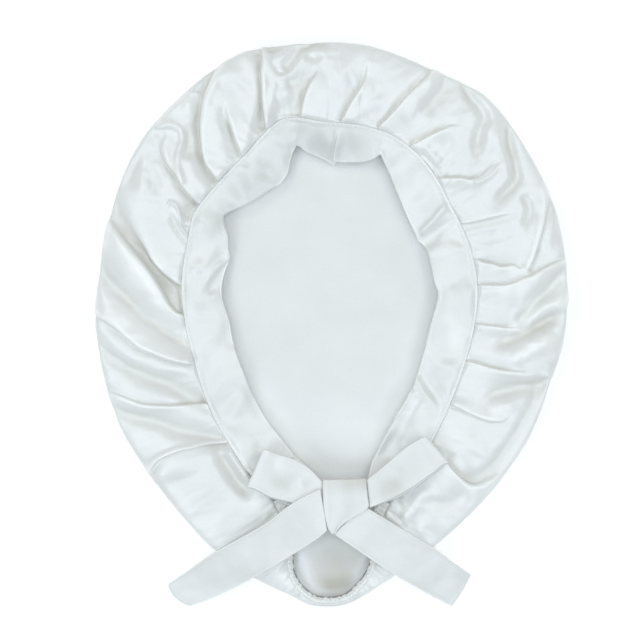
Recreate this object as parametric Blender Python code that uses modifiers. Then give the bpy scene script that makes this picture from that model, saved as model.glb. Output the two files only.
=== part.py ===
"""A white satin sleep bonnet that lies on its back with the head opening up.

+X is to the right, +Y runs from the nape to the forehead, +Z is up, and the surface it lies on
is z = 0. Lengths are in millimetres, and MM turns them into Blender's metres.
"""

import bmesh
import bpy
import numpy as np

MM = 0.001

# Cloth
CROWN_WALL = 1.2
RIBBON_WALL = 1.2
BAND_WALL = 2.2  # the band is a folded casing, two layers thick
HEM_WALL = 2.4  # the hem is rolled round an elastic
GAP = 0.3  # between pieces that touch

# Crown
PUFF = 8.0  # how far the crest of the crown stands above its gathered edge
FOLD_LEVEL = 0.45  # height of the outline's fold, as a share of the crest's height
FULL_WIDTH = 18.0  # a crown strip much wider than this has its full puff
EDGE_ROLL = 9.0  # the crown rises from the band's edge over about this distance
ROUNDNESS = 4.5  # exponent of the top's cross-section, 2 for an ellipse
LAP = 4.5  # the gathered edge runs this far under the band
LAP_DROP = 1.6
CROWN_STEPS = 120
RING_SHARES = (0.05, 0.13, 0.23, 0.36, 0.51, 0.67, 0.82, 0.93, 0.985)
TURN_DEGREES = (0, 35, 65, 90)  # round the fold of the outline, down to the flat back
FLAT_MARGIN = 1.0

# Band and hem
BAND_STEPS = 100
BAND_COLUMNS = 3
HEM_STEPS = 50
HEM_WIDTH = 3.6
HEM_LIFT = 1.2  # the hem's free edge stands this far above its sewn edge

# One row for each section round the opening, clockwise from the forehead: the gathered edge of the
# crown, its height, and the fold of the outline.
# seam_x, seam_y, seam_z, outline_x, outline_y
SECTIONS = (
    (-7.5, 138.5, 16.8, -9, 192),
    (20.5, 135.5, 16.8, 28, 189),
    (44, 127.5, 16.8, 67.5, 174),
    (64.5, 110, 16.8, 103.5, 156),
    (81.5, 81, 16.8, 134.5, 116.5),
    (93, 56.5, 16.8, 153, 75.5),
    (99.5, 26.5, 16.8, 160.5, 28.5),
    (97.5, 0, 16.8, 158.5, -8),
    (89, -32, 16.8, 149, -39.5),
    (78, -60, 16.8, 134.5, -76),
    (68, -80, 16.8, 119, -100),
    (55.5, -99, 16.2, 100, -123),
    (44, -113.5, 14.4, 82.5, -140),
    (36, -130, 12.4, 65.5, -154.5),
    (32, -150, 9.6, 50.5, -166),
    (28.5, -167, 7, 37.5, -175),
    (19.5, -180, 5.8, 24, -184),
    (10, -187.5, 5.4, 11.5, -190.5),
    (-2, -189.5, 5.4, -1.5, -192.5),
    (-13, -187.5, 5.4, -15, -191),
    (-22, -180.5, 5.8, -26, -185.5),
    (-28.5, -169, 7, -37.5, -180),
    (-29.5, -153, 9.6, -51, -173),
    (-33.5, -133, 12.4, -68.5, -161),
    (-42, -115, 15, -84.5, -148),
    (-55, -102, 16.8, -102.5, -128),
    (-69.5, -80, 16.8, -124.5, -99.5),
    (-83, -55, 16.8, -143.5, -68.5),
    (-92.5, -26, 16.8, -155, -32),
    (-99.5, 3.5, 16.8, -160, 2),
    (-101.5, 26.5, 16.8, -158.5, 26.5),
    (-97, 59, 16.8, -153, 62.5),
    (-93, 75.5, 16.8, -144, 94.5),
    (-76, 97.5, 16.8, -129, 125),
    (-59, 115, 16.8, -106, 151),
    (-43.5, 132, 16.8, -80, 173.5),
    (-34, 139.5, 16.8, -58.5, 185.5),
    (-22.5, 141, 16.8, -33.5, 190),
)

# The main folds of the crown's top: where each valley starts at the band, a point on the way, where
# it ends, half its width and its depth.
# root_x, root_y, middle_x, middle_y, tip_x, tip_y, width, depth
FOLDS = (
    (-43, 133, -45.5, 166, -48, 184, 4.5, 3.4),
    (-60, 114, -68.5, 138, -69.5, 156, 5, 3),
    (-76, 98, -87.5, 124, -100, 151, 7, 4.6),
    (-89, 82, -106, 102, -114, 124, 5, 3.6),
    (-98, 60, -104.5, 77, -111, 83, 4.5, 3),
    (-101, 28, -111.5, 36.5, -121, 42, 4.5, 2.4),
    (-100, 6, -119.5, 29, -142, 64, 6, 4),
    (-94.5, -26, -122.5, -19, -147.5, -1, 6, 3.6),
    (-85, -53, -117, -53.5, -149.5, -45.5, 4.5, 3.4),
    (-85, -52.5, -123, -32.5, -151.5, -17, 5, 2.4),
    (-70, -79.5, -100.5, -83.5, -120, -91, 5, 3.4),
    (7.5, 138.5, 16.5, 154.5, 24, 170.5, 5, 3),
    (32.5, 133, 52.5, 153, 68.5, 174, 5, 3.4),
    (55, 121, 71.5, 130, 90, 134, 5, 3),
    (74, 98, 98, 98.5, 112.5, 110, 5, 3.6),
    (88.5, 69, 108, 73, 127, 76, 5, 3),
    (98.5, 43.5, 118.5, 41.5, 136.5, 45.5, 5.5, 4.2),
    (100.5, 26.5, 124.5, 28, 146, 39.5, 4.5, 2.6),
    (97, 0, 115, -3, 131, 2, 5, 2.6),
    (92.5, -25, 108, -29, 126, -31, 5, 2.4),
    (83, -54, 98, -60, 113.5, -64.5, 5, 2.8),
)

# The band's free inner edge: the section it lies opposite, counted from 0, and where it is.
# section, inner_x, inner_y, inner_z
BAND_EDGE = (
    (25.2, -29.5, -84.5, 15.6),
    (26, -36.5, -74, 15.6),
    (26.7, -45, -63, 15.6),
    (27.4, -54.5, -45, 15),
    (28, -61.5, -28.5, 15.6),
    (28.6, -67, -10, 16.2),
    (29.2, -71.5, 8, 15.6),
    (30, -74, 26, 16.2),
    (30.7, -69, 46, 15),
    (31.4, -72, 61, 16.2),
    (32, -73.5, 72, 16.2),
    (33, -56.5, 83.5, 15.6),
    (34, -38, 95, 16.2),
    (35, -28.5, 106, 15.6),
    (36, -27, 115, 15),
    (37, -22, 121.5, 16.2),
    (38, -7.5, 114, 15.6),
    (38.4, 1.5, 109, 14.4),
    (38.7, 7, 112, 15.6),
    (39, 18.5, 111, 16.2),
    (39.6, 34, 115.5, 15.6),
    (40, 38, 105.5, 15),
    (40.5, 43, 94, 16.2),
    (41, 48.5, 83, 16.2),
    (41.5, 54.5, 68.5, 15.6),
    (42, 60, 56.5, 14.4),
    (43, 68.5, 39.5, 15.6),
    (44, 73.5, 20, 16.2),
    (45, 66, -7, 15.6),
    (46, 59, -33.5, 15),
    (47, 47.5, -56.5, 15.6),
    (48, 33.5, -82, 15.6),
    (48.6, 30, -88.5, 15.9),
)

# The band's ends go on under the bow to the knot.
# outer_x, outer_y, outer_z, inner_x, inner_y, inner_z
BAND_LEFT_END = (
    (-6.2, -124.5, 20.3, -6.6, -107, 20.3),
    (-22, -122, 19.3, -14, -98.5, 17.8),
    (-42, -113.5, 18.8, -23, -90.5, 16.5),
)
BAND_RIGHT_END = (
    (43.5, -109, 18.8, 27, -95.5, 16.8),
    (26, -121.5, 20.3, 24.4, -106, 20.3),
)

# Ribbons, one row for each cross line: the two ends of the line.
# upper_x, upper_y, upper_z, lower_x, lower_y, lower_z
LOOP_LEFT = (
    (-6.2, -105.2, 28.8, -5.4, -126.6, 27.8),
    (-15.5, -96, 29.8, -15.5, -122.5, 28.6),
    (-25, -90.5, 29.8, -26.5, -119.7, 28.6),
    (-36.5, -87, 29.4, -41, -115.8, 28.2),
    (-44, -84, 27.8, -55, -109.6, 27.2),
    (-45.4, -83.6, 26, -56.8, -109.9, 25.6),
    (-44, -84.6, 23.4, -55, -110.6, 23.2),
    (-35, -89.5, 22.4, -40, -117.4, 22.4),
    (-22, -94.5, 22.4, -24, -121.6, 22.4),
    (-6.6, -107, 23.4, -5.8, -125.4, 23.4),
)
LOOP_RIGHT = (
    (24.1, -104.4, 29.8, 26.1, -123.2, 29.2),
    (34.5, -95.8, 30.8, 37.7, -118.2, 30),
    (48, -84.2, 31.2, 50.5, -111.5, 30.4),
    (58, -77.6, 31, 68.5, -99.2, 30.6),
    (62.4, -75.6, 30, 77.6, -92.9, 29.8),
    (63.4, -75.2, 28.4, 78.8, -92.8, 28.2),
    (62, -76.4, 26.8, 76.8, -94.6, 26.8),
    (47.5, -87, 24.2, 52.5, -112.8, 24),
    (35, -98, 22.7, 38.5, -119.4, 22.7),
    (24.4, -106, 23.2, 26.3, -122, 23.2),
)
TAIL_LEFT = (
    (-7.3, -110, 32.2, -2.9, -138.4, 30.4),
    (-20, -116.2, 32.8, -7, -142.2, 30.8),
    (-45, -134, 30.8, -30, -157.5, 26.8),
    (-62, -144, 26.8, -47, -168, 20.8),
    (-79, -154, 18.8, -63.5, -177.5, 13.2),
    (-95, -165.5, 10.2, -80.5, -186, 6.6),
    (-111, -177.2, 2.4, -96, -192.4, 1.2),
)
TAIL_RIGHT = (
    (25.4, -123.8, 26.3, 2.2, -141.4, 25.8),
    (38, -131.5, 27.3, 19.7, -153.4, 25.8),
    (54, -141.2, 23.8, 38, -166, 19.8),
    (70, -151.3, 16.2, 55, -176.6, 12.6),
    (83, -161.5, 9.3, 69, -185, 6),
    (95.3, -170.4, 2.4, 82.3, -192.4, 1.2),
)

# The knot, one row for each cross-section from its upper edge to its tip.
# left_x, left_y, right_x, right_y, low, high
KNOT = (
    (-5, -104.2, 23, -103.2, 22.8, 29.8),
    (-6, -107.5, 24, -106.5, 19.8, 33.8),
    (-5.6, -117, 24.7, -115, 18.8, 34.8),
    (-4.8, -126, 25, -123, 19.3, 34.8),
    (-3.4, -132.5, 14.5, -130, 21.8, 33.8),
    (-1.6, -138, 6.2, -136, 24.8, 32.3),
    (0.6, -141, 2.6, -140.6, 27.3, 30.8),
)
KNOT_SIDES = 20
KNOT_SQUARENESS = 0.5  # exponent of the cross-section, 1 for an ellipse


def ease(x):
    """Rises smoothly from 0 at x = 0 to 1 at x = 1."""
    x = np.clip(x, 0, 1)
    return x * x * (3 - 2 * x)


def smooth(rows, at, closed=False):
    """The rows as one smooth curve, read at row numbers that need not be whole."""
    rows = np.asarray(rows, float)
    at = np.asarray(at, float)
    count = len(rows)
    if closed:
        ahead = np.roll(rows, -1, axis=0) - rows
    else:
        ahead = np.vstack([np.diff(rows, axis=0), rows[-1] - rows[-2]])
    length = np.linalg.norm(ahead, axis=1)[:, None]
    slope = ahead / length
    back, back_length = np.roll(slope, 1, axis=0), np.roll(length, 1, axis=0)
    tangent = (back * length + slope * back_length) / (length + back_length)
    if not closed:
        tangent[0], tangent[-1] = slope[0], slope[-1]
    first = np.floor(at).astype(int)
    if not closed:
        first = np.clip(first, 0, count - 2)
    part = (at - first)[:, None]
    a, b = first % count, (first + 1) % count
    span = length[a]
    return (
        (1 + 2 * part) * (1 - part) ** 2 * rows[a]
        + part * (1 - part) ** 2 * span * tangent[a]
        + part**2 * (3 - 2 * part) * rows[b]
        - part**2 * (1 - part) * span * tangent[b]
    )


def even_rows(rows, steps, closed=False):
    """Row numbers that cut the smooth curve through the rows into equal lengths."""
    last = len(rows) if closed else len(rows) - 1
    fine = np.linspace(0, last, 40 * last + 1)
    points = smooth(rows, fine, closed)
    run = np.concatenate([[0], np.cumsum(np.linalg.norm(np.diff(points, axis=0), axis=1))])
    return np.interp(np.linspace(0, run[-1], steps + 1), run, fine)


def section_points(at):
    """Seam and outline in plan, and the seam's height, at these section numbers."""
    found = smooth(SECTIONS, at, closed=True)
    return found[:, 0:2], found[:, 2], found[:, 3:5]


def inward(at):
    """Unit vectors in plan, square to the seam and towards the head opening."""
    step = 0.05
    ahead, _, _ = section_points(at + step)
    behind, _, _ = section_points(at - step)
    along = ahead - behind
    along /= np.linalg.norm(along, axis=1)[:, None]
    return np.stack([along[:, 1], -along[:, 0]], axis=1)


def fold_height(points):
    """Height that the folds add at points in plan: a valley between two soft shoulders."""
    height = np.zeros(len(points))
    for root_x, root_y, middle_x, middle_y, tip_x, tip_y, width, depth in FOLDS:
        root, tip = np.array([root_x, root_y]), np.array([tip_x, tip_y])
        bend = 2 * np.array([middle_x, middle_y]) - (root + tip) / 2
        share = np.linspace(0, 1, 24)[:, None]
        line = (1 - share) ** 2 * root + 2 * share * (1 - share) * bend + share**2 * tip
        away = np.linalg.norm(points[:, None] - line[None], axis=2)
        nearest = away.argmin(axis=1)
        fade = 1 - ease(nearest / (len(line) - 1))
        across = away.min(axis=1) / width
        height -= depth * fade * (1 - across**2) * np.exp(-(across**2) / 2)
    return height


def crown_rings(at):
    """Rings of points of the crown's outer face, from the edge under the band to the flat back."""
    seam, seam_z, outline = section_points(at)
    reach = outline - seam
    width = np.linalg.norm(reach, axis=1)
    outward = reach / width[:, None]
    fullness = 1 - np.exp(-width / FULL_WIDTH)
    crest = seam_z + PUFF * fullness
    fold_z = FOLD_LEVEL * crest

    rings = [
        np.column_stack([seam + LAP * inward(at), seam_z - LAP_DROP]),
        np.column_stack([seam, seam_z]),
    ]
    for share in RING_SHARES:
        plan = seam + share * reach
        from_seam = share * width
        round_top = np.sqrt(1 - share**ROUNDNESS)
        z = fold_z + (crest - fold_z) * round_top
        roll = np.minimum(EDGE_ROLL, width / 3)
        z -= (crest - seam_z) * np.exp(-((from_seam / roll) ** 1.5))
        room = ease((from_seam - 1) / 7) * ease((width - from_seam) / 14)
        z += fold_height(plan) * room * fullness
        rings.append(np.column_stack([plan, z]))
    for degrees in TURN_DEGREES:
        angle = np.radians(degrees)
        inset = (fold_z + FLAT_MARGIN) * (1 - np.cos(angle))
        plan = outline - outward * inset[:, None]
        rings.append(np.column_stack([plan, fold_z * (1 - np.sin(angle))]))
    rings[-1][:, 2] = 0
    return rings


def satin(name, colour):
    """A white satin with a soft sheen."""
    material = bpy.data.materials.new(name)
    material.use_nodes = True
    shader = material.node_tree.nodes["Principled BSDF"]
    shader.inputs["Base Color"].default_value = (*colour, 1)
    shader.inputs["Roughness"].default_value = 0.42
    shader.inputs["Metallic"].default_value = 0
    return material


def add_object(name, mesh, material, collection):
    part = bpy.data.objects.new(name, mesh)
    mesh.materials.append(material)
    collection.objects.link(part)
    return part


def add_wall(part, thickness, offset):
    wall = part.modifiers.new("wall", "SOLIDIFY")
    wall.thickness = thickness * MM
    wall.offset = offset
    wall.use_even_offset = False
    wall.use_rim = True


def loft(name, lines, ring):
    """A mesh of quads through lines of points, with each line closed where ring is set."""
    mesh = bpy.data.meshes.new(name)
    build = bmesh.new()
    grid = [[build.verts.new(point) for point in np.asarray(line) * MM] for line in lines]
    count = len(grid[0])
    for first, second in zip(grid, grid[1:]):
        for i in range(count if ring else count - 1):
            j = (i + 1) % count
            build.faces.new((first[i], first[j], second[j], second[i]))
    return mesh, build, grid


def add_crown(collection):
    at = even_rows(SECTIONS, CROWN_STEPS, closed=True)[:-1]
    mesh, build, grid = loft("crown", crown_rings(at), ring=True)
    build.faces.new(grid[-1])
    bmesh.ops.recalc_face_normals(build, faces=build.faces)
    build.to_mesh(mesh)
    build.free()
    part = add_object("crown", mesh, satin("satin_crown", (0.78, 0.81, 0.82)), collection)
    add_wall(part, CROWN_WALL, -1)


def add_strip(name, rows, steps, columns, thickness, camber, material, collection):
    """A ribbon through cross lines, with its middle raised by the camber."""
    lines = smooth(rows, even_rows(rows, steps))
    across = np.linspace(0, 1, columns + 1)[None, :, None]
    grid = lines[:, None, 0:3] * (1 - across) + lines[:, None, 3:6] * across
    grid[:, :, 2] += camber * (4 * across * (1 - across))[..., 0]
    mesh, build, _ = loft(name, grid, ring=False)
    build.to_mesh(mesh)
    build.free()
    part = add_object(name, mesh, material, collection)
    add_wall(part, thickness, 0)


def band_rows():
    """Cross lines of the band, from its left end round the forehead to its right end."""
    edge = np.array(BAND_EDGE, float)
    seam, seam_z, _ = section_points(edge[:, 0])
    outer_z = seam_z + GAP + BAND_WALL / 2
    rows = np.column_stack([seam, outer_z, edge[:, 1:4]])
    return np.vstack([BAND_LEFT_END, rows, BAND_RIGHT_END])


def hem_rows():
    """Cross lines of the elastic hem, from under the right loop round the nape to the left."""
    at = np.arange(12.5, 23.8, 0.4)
    seam, seam_z, _ = section_points(at)
    base = seam_z + GAP + HEM_WALL / 2
    free = seam + HEM_WIDTH * inward(at)
    return np.column_stack([seam, base, free, base + HEM_LIFT])


def add_knot(material, collection):
    rows = smooth(KNOT, even_rows(KNOT, 12))
    turn = np.linspace(0, 2 * np.pi, KNOT_SIDES, endpoint=False)
    wide = np.sign(np.cos(turn)) * np.abs(np.cos(turn)) ** KNOT_SQUARENESS
    tall = np.sign(np.sin(turn)) * np.abs(np.sin(turn)) ** KNOT_SQUARENESS
    lines = []
    for left_x, left_y, right_x, right_y, low, high in rows:
        middle = np.array([left_x + right_x, left_y + right_y, low + high]) / 2
        half = np.array([right_x - left_x, right_y - left_y, 0]) / 2
        rise = np.array([0, 0, (high - low) / 2])
        lines.append(middle + wide[:, None] * half + tall[:, None] * rise)
    mesh, build, grid = loft("bow_knot", lines, ring=True)
    build.faces.new(grid[0])
    build.faces.new(grid[-1])
    bmesh.ops.recalc_face_normals(build, faces=build.faces)
    build.to_mesh(mesh)
    build.free()
    add_object("bow_knot", mesh, material, collection)


def main():
    for old in list(bpy.data.objects):
        bpy.data.objects.remove(old)
    collection = bpy.data.collections.new("sleep_bonnet")
    bpy.context.scene.collection.children.link(collection)

    add_crown(collection)
    band_satin = satin("satin_band", (0.83, 0.86, 0.87))
    add_strip("front_band", band_rows(), BAND_STEPS, BAND_COLUMNS, BAND_WALL, 1, band_satin, collection)
    hem_satin = satin("satin_hem", (0.80, 0.82, 0.82))
    add_strip("nape_hem", hem_rows(), HEM_STEPS, 2, HEM_WALL, 0, hem_satin, collection)
    bow_satin = satin("satin_bow", (0.81, 0.84, 0.85))
    for name, rows, steps in (
        ("bow_loop_left", LOOP_LEFT, 30),
        ("bow_loop_right", LOOP_RIGHT, 30),
        ("tie_tail_left", TAIL_LEFT, 20),
        ("tie_tail_right", TAIL_RIGHT, 18),
    ):
        add_strip(name, rows, steps, 3, RIBBON_WALL, 0, bow_satin, collection)
    add_knot(bow_satin, collection)


main()
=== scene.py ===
"""A white satin sleep bonnet that lies on its back with the head opening up, seen from above.

+X is to the right, +Y runs from the nape to the forehead, +Z is up, and the surface it lies on
is z = 0. Lengths in the tables are in millimetres, and MM turns them into metres.
"""

import math

import bpy
import numpy as np
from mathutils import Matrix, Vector, noise

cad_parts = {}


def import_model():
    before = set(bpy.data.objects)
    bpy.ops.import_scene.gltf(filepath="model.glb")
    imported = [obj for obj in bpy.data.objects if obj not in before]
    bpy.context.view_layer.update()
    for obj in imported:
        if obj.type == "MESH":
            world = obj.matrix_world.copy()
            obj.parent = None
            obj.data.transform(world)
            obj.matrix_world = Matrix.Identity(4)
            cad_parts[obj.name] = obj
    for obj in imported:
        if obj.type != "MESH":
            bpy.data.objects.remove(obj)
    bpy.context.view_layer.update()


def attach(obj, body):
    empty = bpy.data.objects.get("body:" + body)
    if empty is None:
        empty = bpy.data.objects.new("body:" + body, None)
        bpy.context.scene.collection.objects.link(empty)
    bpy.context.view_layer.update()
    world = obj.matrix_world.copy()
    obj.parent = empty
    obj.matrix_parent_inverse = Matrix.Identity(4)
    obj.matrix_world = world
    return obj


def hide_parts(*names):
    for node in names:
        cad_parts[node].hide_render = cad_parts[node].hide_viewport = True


MM = 0.001

# Camera: the photograph's frame is 435 mm wide at the height of the band.
VIEW_WIDTH = 435
VIEW_CENTRE = (-7.5, 3.4)
VIEW_LEVEL = 14
LENS = 150
SENSOR = 36

# Softboxes, placed in metres: name, place, size, watts, colour
COOL = (0.85, 0.98, 1.11)
WARM = (0.935, 0.99, 1.0)
LIGHTS = (
    ("overhead", (0, 0.1, 2.3), (1.2, 1.0), 6, COOL),
    ("upper_left_softbox", (-1.0, 0.9, 1.9), (1.0, 0.9), 8, WARM),
    ("upper_right_softbox", (1.1, 0.8, 1.9), (1.0, 0.9), 7, WARM),
    ("lower_left_softbox", (-1.2, -0.9, 1.75), (1.0, 0.9), 10, COOL),
    ("lower_right_softbox", (1.15, -0.95, 1.75), (1.0, 0.9), 8.5, COOL),
)
FLOOR_HALF = 3  # half the floor's width in metres

# Strips of cloth: thickness, width and mesh lines
BAND_WALL = 2.2
BAND_DROOP = 1.8  # the band's free edge hangs this much lower than in its table
HEM_WALL = 1.8
RIBBON_WALL = 1.2
EDGE_RADIUS = 0.5  # of the strips' rounded edges
EDGE_STEPS = (0, 0.04, 0.16, 0.36, 0.62, 0.95, 1.3, 1.6, 1.9, 2.2, 2.6, 3.2, 4)  # mesh lines beside an edge
MIDDLE_COLUMNS = 14  # mesh lines between those at a strip's two edges
BAND_STEPS = 760  # mesh lines along the band
BAND_CAMBER = 1  # the middle of the band stands this much higher than its edges
HEM_STEPS = 520  # and along the hem
HEM_SLOPE = 0.8  # the hem's free edge lies this much lower than its sewn edge
HEM_WIDTH = 3
HEM_FLARE = 6  # the hem is this much wider at its two ends, beside the knot
HEM_SECTIONS = (12.5, 23.8, 0.1)  # first, last and step of the crown's sections that the hem runs along
GAP = 0.3  # between pieces that touch

# Crown
PUFF = 8.0  # how far the crest of the crown stands above its gathered edge
FOLD_LEVEL = 0.62  # height of the outline's fold, as a share of the crest's height
TURN_LEVEL = 0.45  # width of the turn below that fold, as a share of the crest's height
FULL_WIDTH = 18.0  # a crown strip much wider than this has its full puff
EDGE_ROLL = 20.0  # the crown rises from the band's edge over about this distance
LIP_RISE = 2.6  # the first, quick part of that rise
SEAM_STEP = 1.5  # the crown meets the band this far above its gathered edge
ROUNDNESS = 2.2  # exponent of the top's cross-section, 2 for an ellipse
LAP = 3.0  # the gathered edge runs this far under the band
LAP_DROP = 1.6  # and lies this much lower there
COLUMNS = 896  # mesh lines round the crown
TOP_RINGS = 66  # mesh lines between the band and the outline
TURN_DEGREES = (0, 10, 20, 31, 42, 54, 66, 78, 90)  # mesh lines of the turn, from the fold to the back
FLAT_MARGIN = 1.0  # the turn is wider than its level says by this much
BACK_LIFT = 0.4  # the back lies this far above the surface
BACK_CENTRE = (-2, -5)
BACK_RINGS = 44  # mesh lines of the back, from its rim to its centre
HALVING_RINGS = (11, 21, 30, 38)  # at each of these rings of the back the columns halve
BACK_RISE = 4.6  # the back rises by this much inside its rim
BACK_WAVES = 1.3  # height of the back's waves
LINE_STEPS = 70  # steps along the line of each fold
FOLD_GAIN = 2.0  # the crown's tucks and folds are this many times as high as their tables say
FOLD_SPREAD = 1.3  # and its soft folds this many times as wide
OUTLINE_GIVE = 0.15  # a fold moves the outline by this share of its height
EDGE_BEAD = 0.2  # the edge of a tuck stands up by this much more
EDGE_LEAN = 0.8  # and leans out over its hollow by this much
SEAM_POINTS = 4001  # along the middle of the crown's top, to measure distances round it
PACKING = ((2.6, 2.4), (-0.45, 14))  # how much denser the columns are near a tuck, and how near
LEAST_PACKING = 0.4
PUCKERS = ((4.1, 0), (5.6, 2), (7.9, 4), (11.3, 1))  # period and start of each ripple beside the band
PUCKER_HEIGHT = 0.22
CREASES = ((0.38, 15, 70, 9, 1), (0.2, 8, 40, 17, -1))  # height, period, length, seed and drift
NAPE_CRINKLE = 1.5  # height of the crinkles beside the nape's hem

# Painted shade and painted light on the cloth, as a shade: 0 is plain, above 0 darker with painted shade,
# below 0 lighter with painted light.
HOLLOW_PAINTED_SHADE = 0.85  # painted shade in the deepest hollows
RIDGE_PAINTED_HIGHLIGHT = 0.4  # painted highlight on the highest ridges, as lightness
FOOT_PAINTED_SHADOW = 0.6  # painted shadow at the foot of a tuck's edge
CREST_PAINTED_HIGHLIGHT = 0.95  # painted highlight on the crest of a tuck's edge, as lightness
LINING_PAINTED_SHADE = 0.5  # painted shade over the whole back
# no point of the crown bag gets more painted light than this
LIGHTEST = -0.9

# One row for each section round the opening, clockwise from the forehead: the gathered edge of the
# crown, its height, and the fold of the outline.
# seam_x, seam_y, seam_z, outline_x, outline_y
SECTIONS = (
    (-7.5, 138.5, 16.8, -9, 192),
    (20.5, 135.5, 16.8, 28, 189),
    (44, 127.5, 16.8, 67.5, 174),
    (64.5, 110, 16.8, 103.5, 156),
    (81.5, 81, 16.8, 134.5, 116.5),
    (93, 56.5, 16.8, 153, 75.5),
    (99.5, 26.5, 16.8, 160.5, 28.5),
    (97.5, 0, 16.8, 158.5, -8),
    (89, -32, 16.8, 149, -39.5),
    (78, -60, 16.8, 134.5, -76),
    (68, -80, 16.8, 119, -100),
    (55.5, -99, 16.2, 100, -123),
    (44, -113.5, 14.4, 82.5, -140),
    (36, -130, 12.4, 65.5, -154.5),
    (32, -150, 9.6, 50.5, -166),
    (28.5, -167, 7, 37.5, -175),
    (19.5, -180, 5.8, 24, -184),
    (10, -187.5, 5.4, 11.5, -190.5),
    (-2, -189.5, 5.4, -1.5, -192.5),
    (-13, -187.5, 5.4, -15, -191),
    (-22, -180.5, 5.8, -26, -185.5),
    (-28.5, -169, 7, -37.5, -180),
    (-29.5, -153, 9.6, -51, -173),
    (-33.5, -133, 12.4, -68.5, -161),
    (-42, -115, 15, -84.5, -148),
    (-55, -102, 16.8, -102.5, -128),
    (-69.5, -80, 16.8, -124.5, -99.5),
    (-83, -55, 16.8, -143.5, -68.5),
    (-92.5, -26, 16.8, -155, -32),
    (-99.5, 3.5, 16.8, -160, 2),
    (-101.5, 26.5, 16.8, -158.5, 26.5),
    (-97, 59, 16.8, -153, 62.5),
    (-93, 75.5, 16.8, -144, 94.5),
    (-76, 97.5, 16.8, -129, 125),
    (-59, 115, 16.8, -106, 151),
    (-43.5, 132, 16.8, -80, 173.5),
    (-34, 139.5, 16.8, -58.5, 185.5),
    (-22.5, 141, 16.8, -33.5, 190),
)

# Tucks of the crown: a raised panel ends in a sharp edge over a hollow. The line runs from the band
# outwards, and side is 1 where the raised panel lies on its left and -1 on its right.
# side, rise, rise_width, drop, drop_width, edge_width, line
TUCKS = (
    (1, 2.4, 9, 3.2, 7, 0.8, ((-99.5, 6.5), (-105, 8.5), (-108.5, 12), (-115.5, 24), (-122.5, 35),
     (-127, 41), (-136.5, 52.5), (-145, 63), (-151.5, 71.5))),
    (-1, 1.6, 10, 1.8, 5, 0.7, ((-98, 27), (-102, 27.5), (-108.5, 31.5), (-114, 36), (-119.5, 42),
     (-125, 51), (-131, 60.5), (-138, 71.5))),
    (-1, 2.6, 8, 1.6, 4, 0.6, ((-95, -26.5), (-102, -25), (-108.5, -23.5), (-119, -19.5), (-129, -15.5),
     (-136.5, -10), (-146.5, -1.5), (-157, 5.5))),
    (1, 1.5, 6, 1, 3.5, 0.6, ((-85, -53.5), (-91, -54), (-112, -55), (-129, -53.5), (-139.5, -49.5),
     (-150.5, -45))),
    (-1, 1.5, 2.2, 1.1, 5, 0.6, ((-70.5, -79.5), (-84.5, -80.5), (-94.5, -83), (-105, -85.5),
     (-112, -88.5), (-118.5, -92.5), (-121.5, -97), (-122.5, -101.5), (-119.5, -108))),
    (-1, 1.6, 6, 2.4, 5, 0.7, ((-89, 82), (-95.5, 88), (-100.5, 94), (-105, 102), (-110, 108),
     (-114, 115.5), (-115, 120.5), (-113, 126))),
    (-1, 2.2, 8, 3.6, 7, 0.7, ((-75.5, 97), (-81, 104), (-85, 110), (-87, 117.5), (-88, 127),
     (-88.5, 136), (-87, 147.5), (-84.5, 158), (-81.5, 165))),
    (-1, 1.8, 7, 2.6, 5, 0.7, ((-60, 114.5), (-61.5, 118.5), (-64.5, 125.5), (-67, 133.5), (-70, 141),
     (-71.5, 147.5), (-71.5, 153.5))),
    (-1, 2.2, 7, 3, 6, 0.6, ((-43.5, 133.5), (-45, 141.5), (-46, 152), (-46.5, 162.5), (-47, 172.5),
     (-46.5, 182), (-47.5, 187))),
    (-1, 1.4, 9, 2.2, 9, 0.7, ((-20, 142), (-19, 148), (-17.5, 154.5), (-13.5, 164.5), (-10, 170),
     (-7, 175.5))),
    (-1, 1.5, 6, 1.8, 5, 0.5, ((7.5, 138), (11, 145), (16, 153.5), (20, 160), (23, 166), (24, 171.5),
     (25, 177.5))),
    (-1, 2, 7, 1.6, 4, 0.5, ((31.5, 132.5), (39, 140), (46, 148), (53.5, 156.5), (61, 163.5),
     (66.5, 169), (69, 175))),
    (-1, 1.5, 6, 1.6, 5, 0.5, ((54, 121), (61, 124.5), (67.5, 128), (74.5, 131.5), (80, 134), (85, 135),
     (90.5, 134))),
    (-1, 1.5, 5, 1.2, 4, 0.5, ((73.5, 99), (81, 99), (88.5, 99), (95, 98), (98.5, 99), (102, 101),
     (106, 105), (110, 108.5), (113.5, 111.5))),
    (1, 0.8, 8, 1, 5, 0.5, ((87.5, 69), (95, 70), (106, 72.5), (116, 74.5), (128, 76))),
    (-1, 1, 6, 1.4, 4, 0.5, ((98, 44), (103.5, 42), (109, 41), (116, 39), (120.5, 40), (124, 40.5),
     (127.5, 38.5), (134, 39))),
    (1, 1.6, 4, 1.4, 4, 1.1, ((134, 39), (136.5, 44), (140, 54.5), (143.5, 67), (147, 84.5), (149, 96))),
    (-1, 1.7, 7, 1, 4, 0.5, ((100, 26.5), (109, 26.5), (116, 26.5), (123, 28), (129.5, 31),
     (136.5, 33.5), (142, 37), (149, 40.5), (157, 44))),
    (-1, 1.2, 5, 0.9, 3.5, 0.5, ((98, 0.5), (103.5, -0.5), (109, -1), (117.5, -2), (125, -2), (131, 0))),
    (-1, 1.4, 6, 1.3, 5, 0.5, ((91, -24.5), (98.5, -26.5), (109, -29.5), (117.5, -31), (125, -31.5),
     (136.5, -32.5))),
    (-1, 1.6, 7, 1.8, 6, 0.6, ((78, -93.7), (87.4, -103.6), (93, -107.6), (99, -108.4), (105, -105.5))),
    (1, 1.4, 6, 1.1, 5, 0.6, ((82, -53.5), (88, -56.5), (95, -60), (102, -63), (109, -65),
     (117.5, -64.5), (122.5, -58.5))),
)

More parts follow.
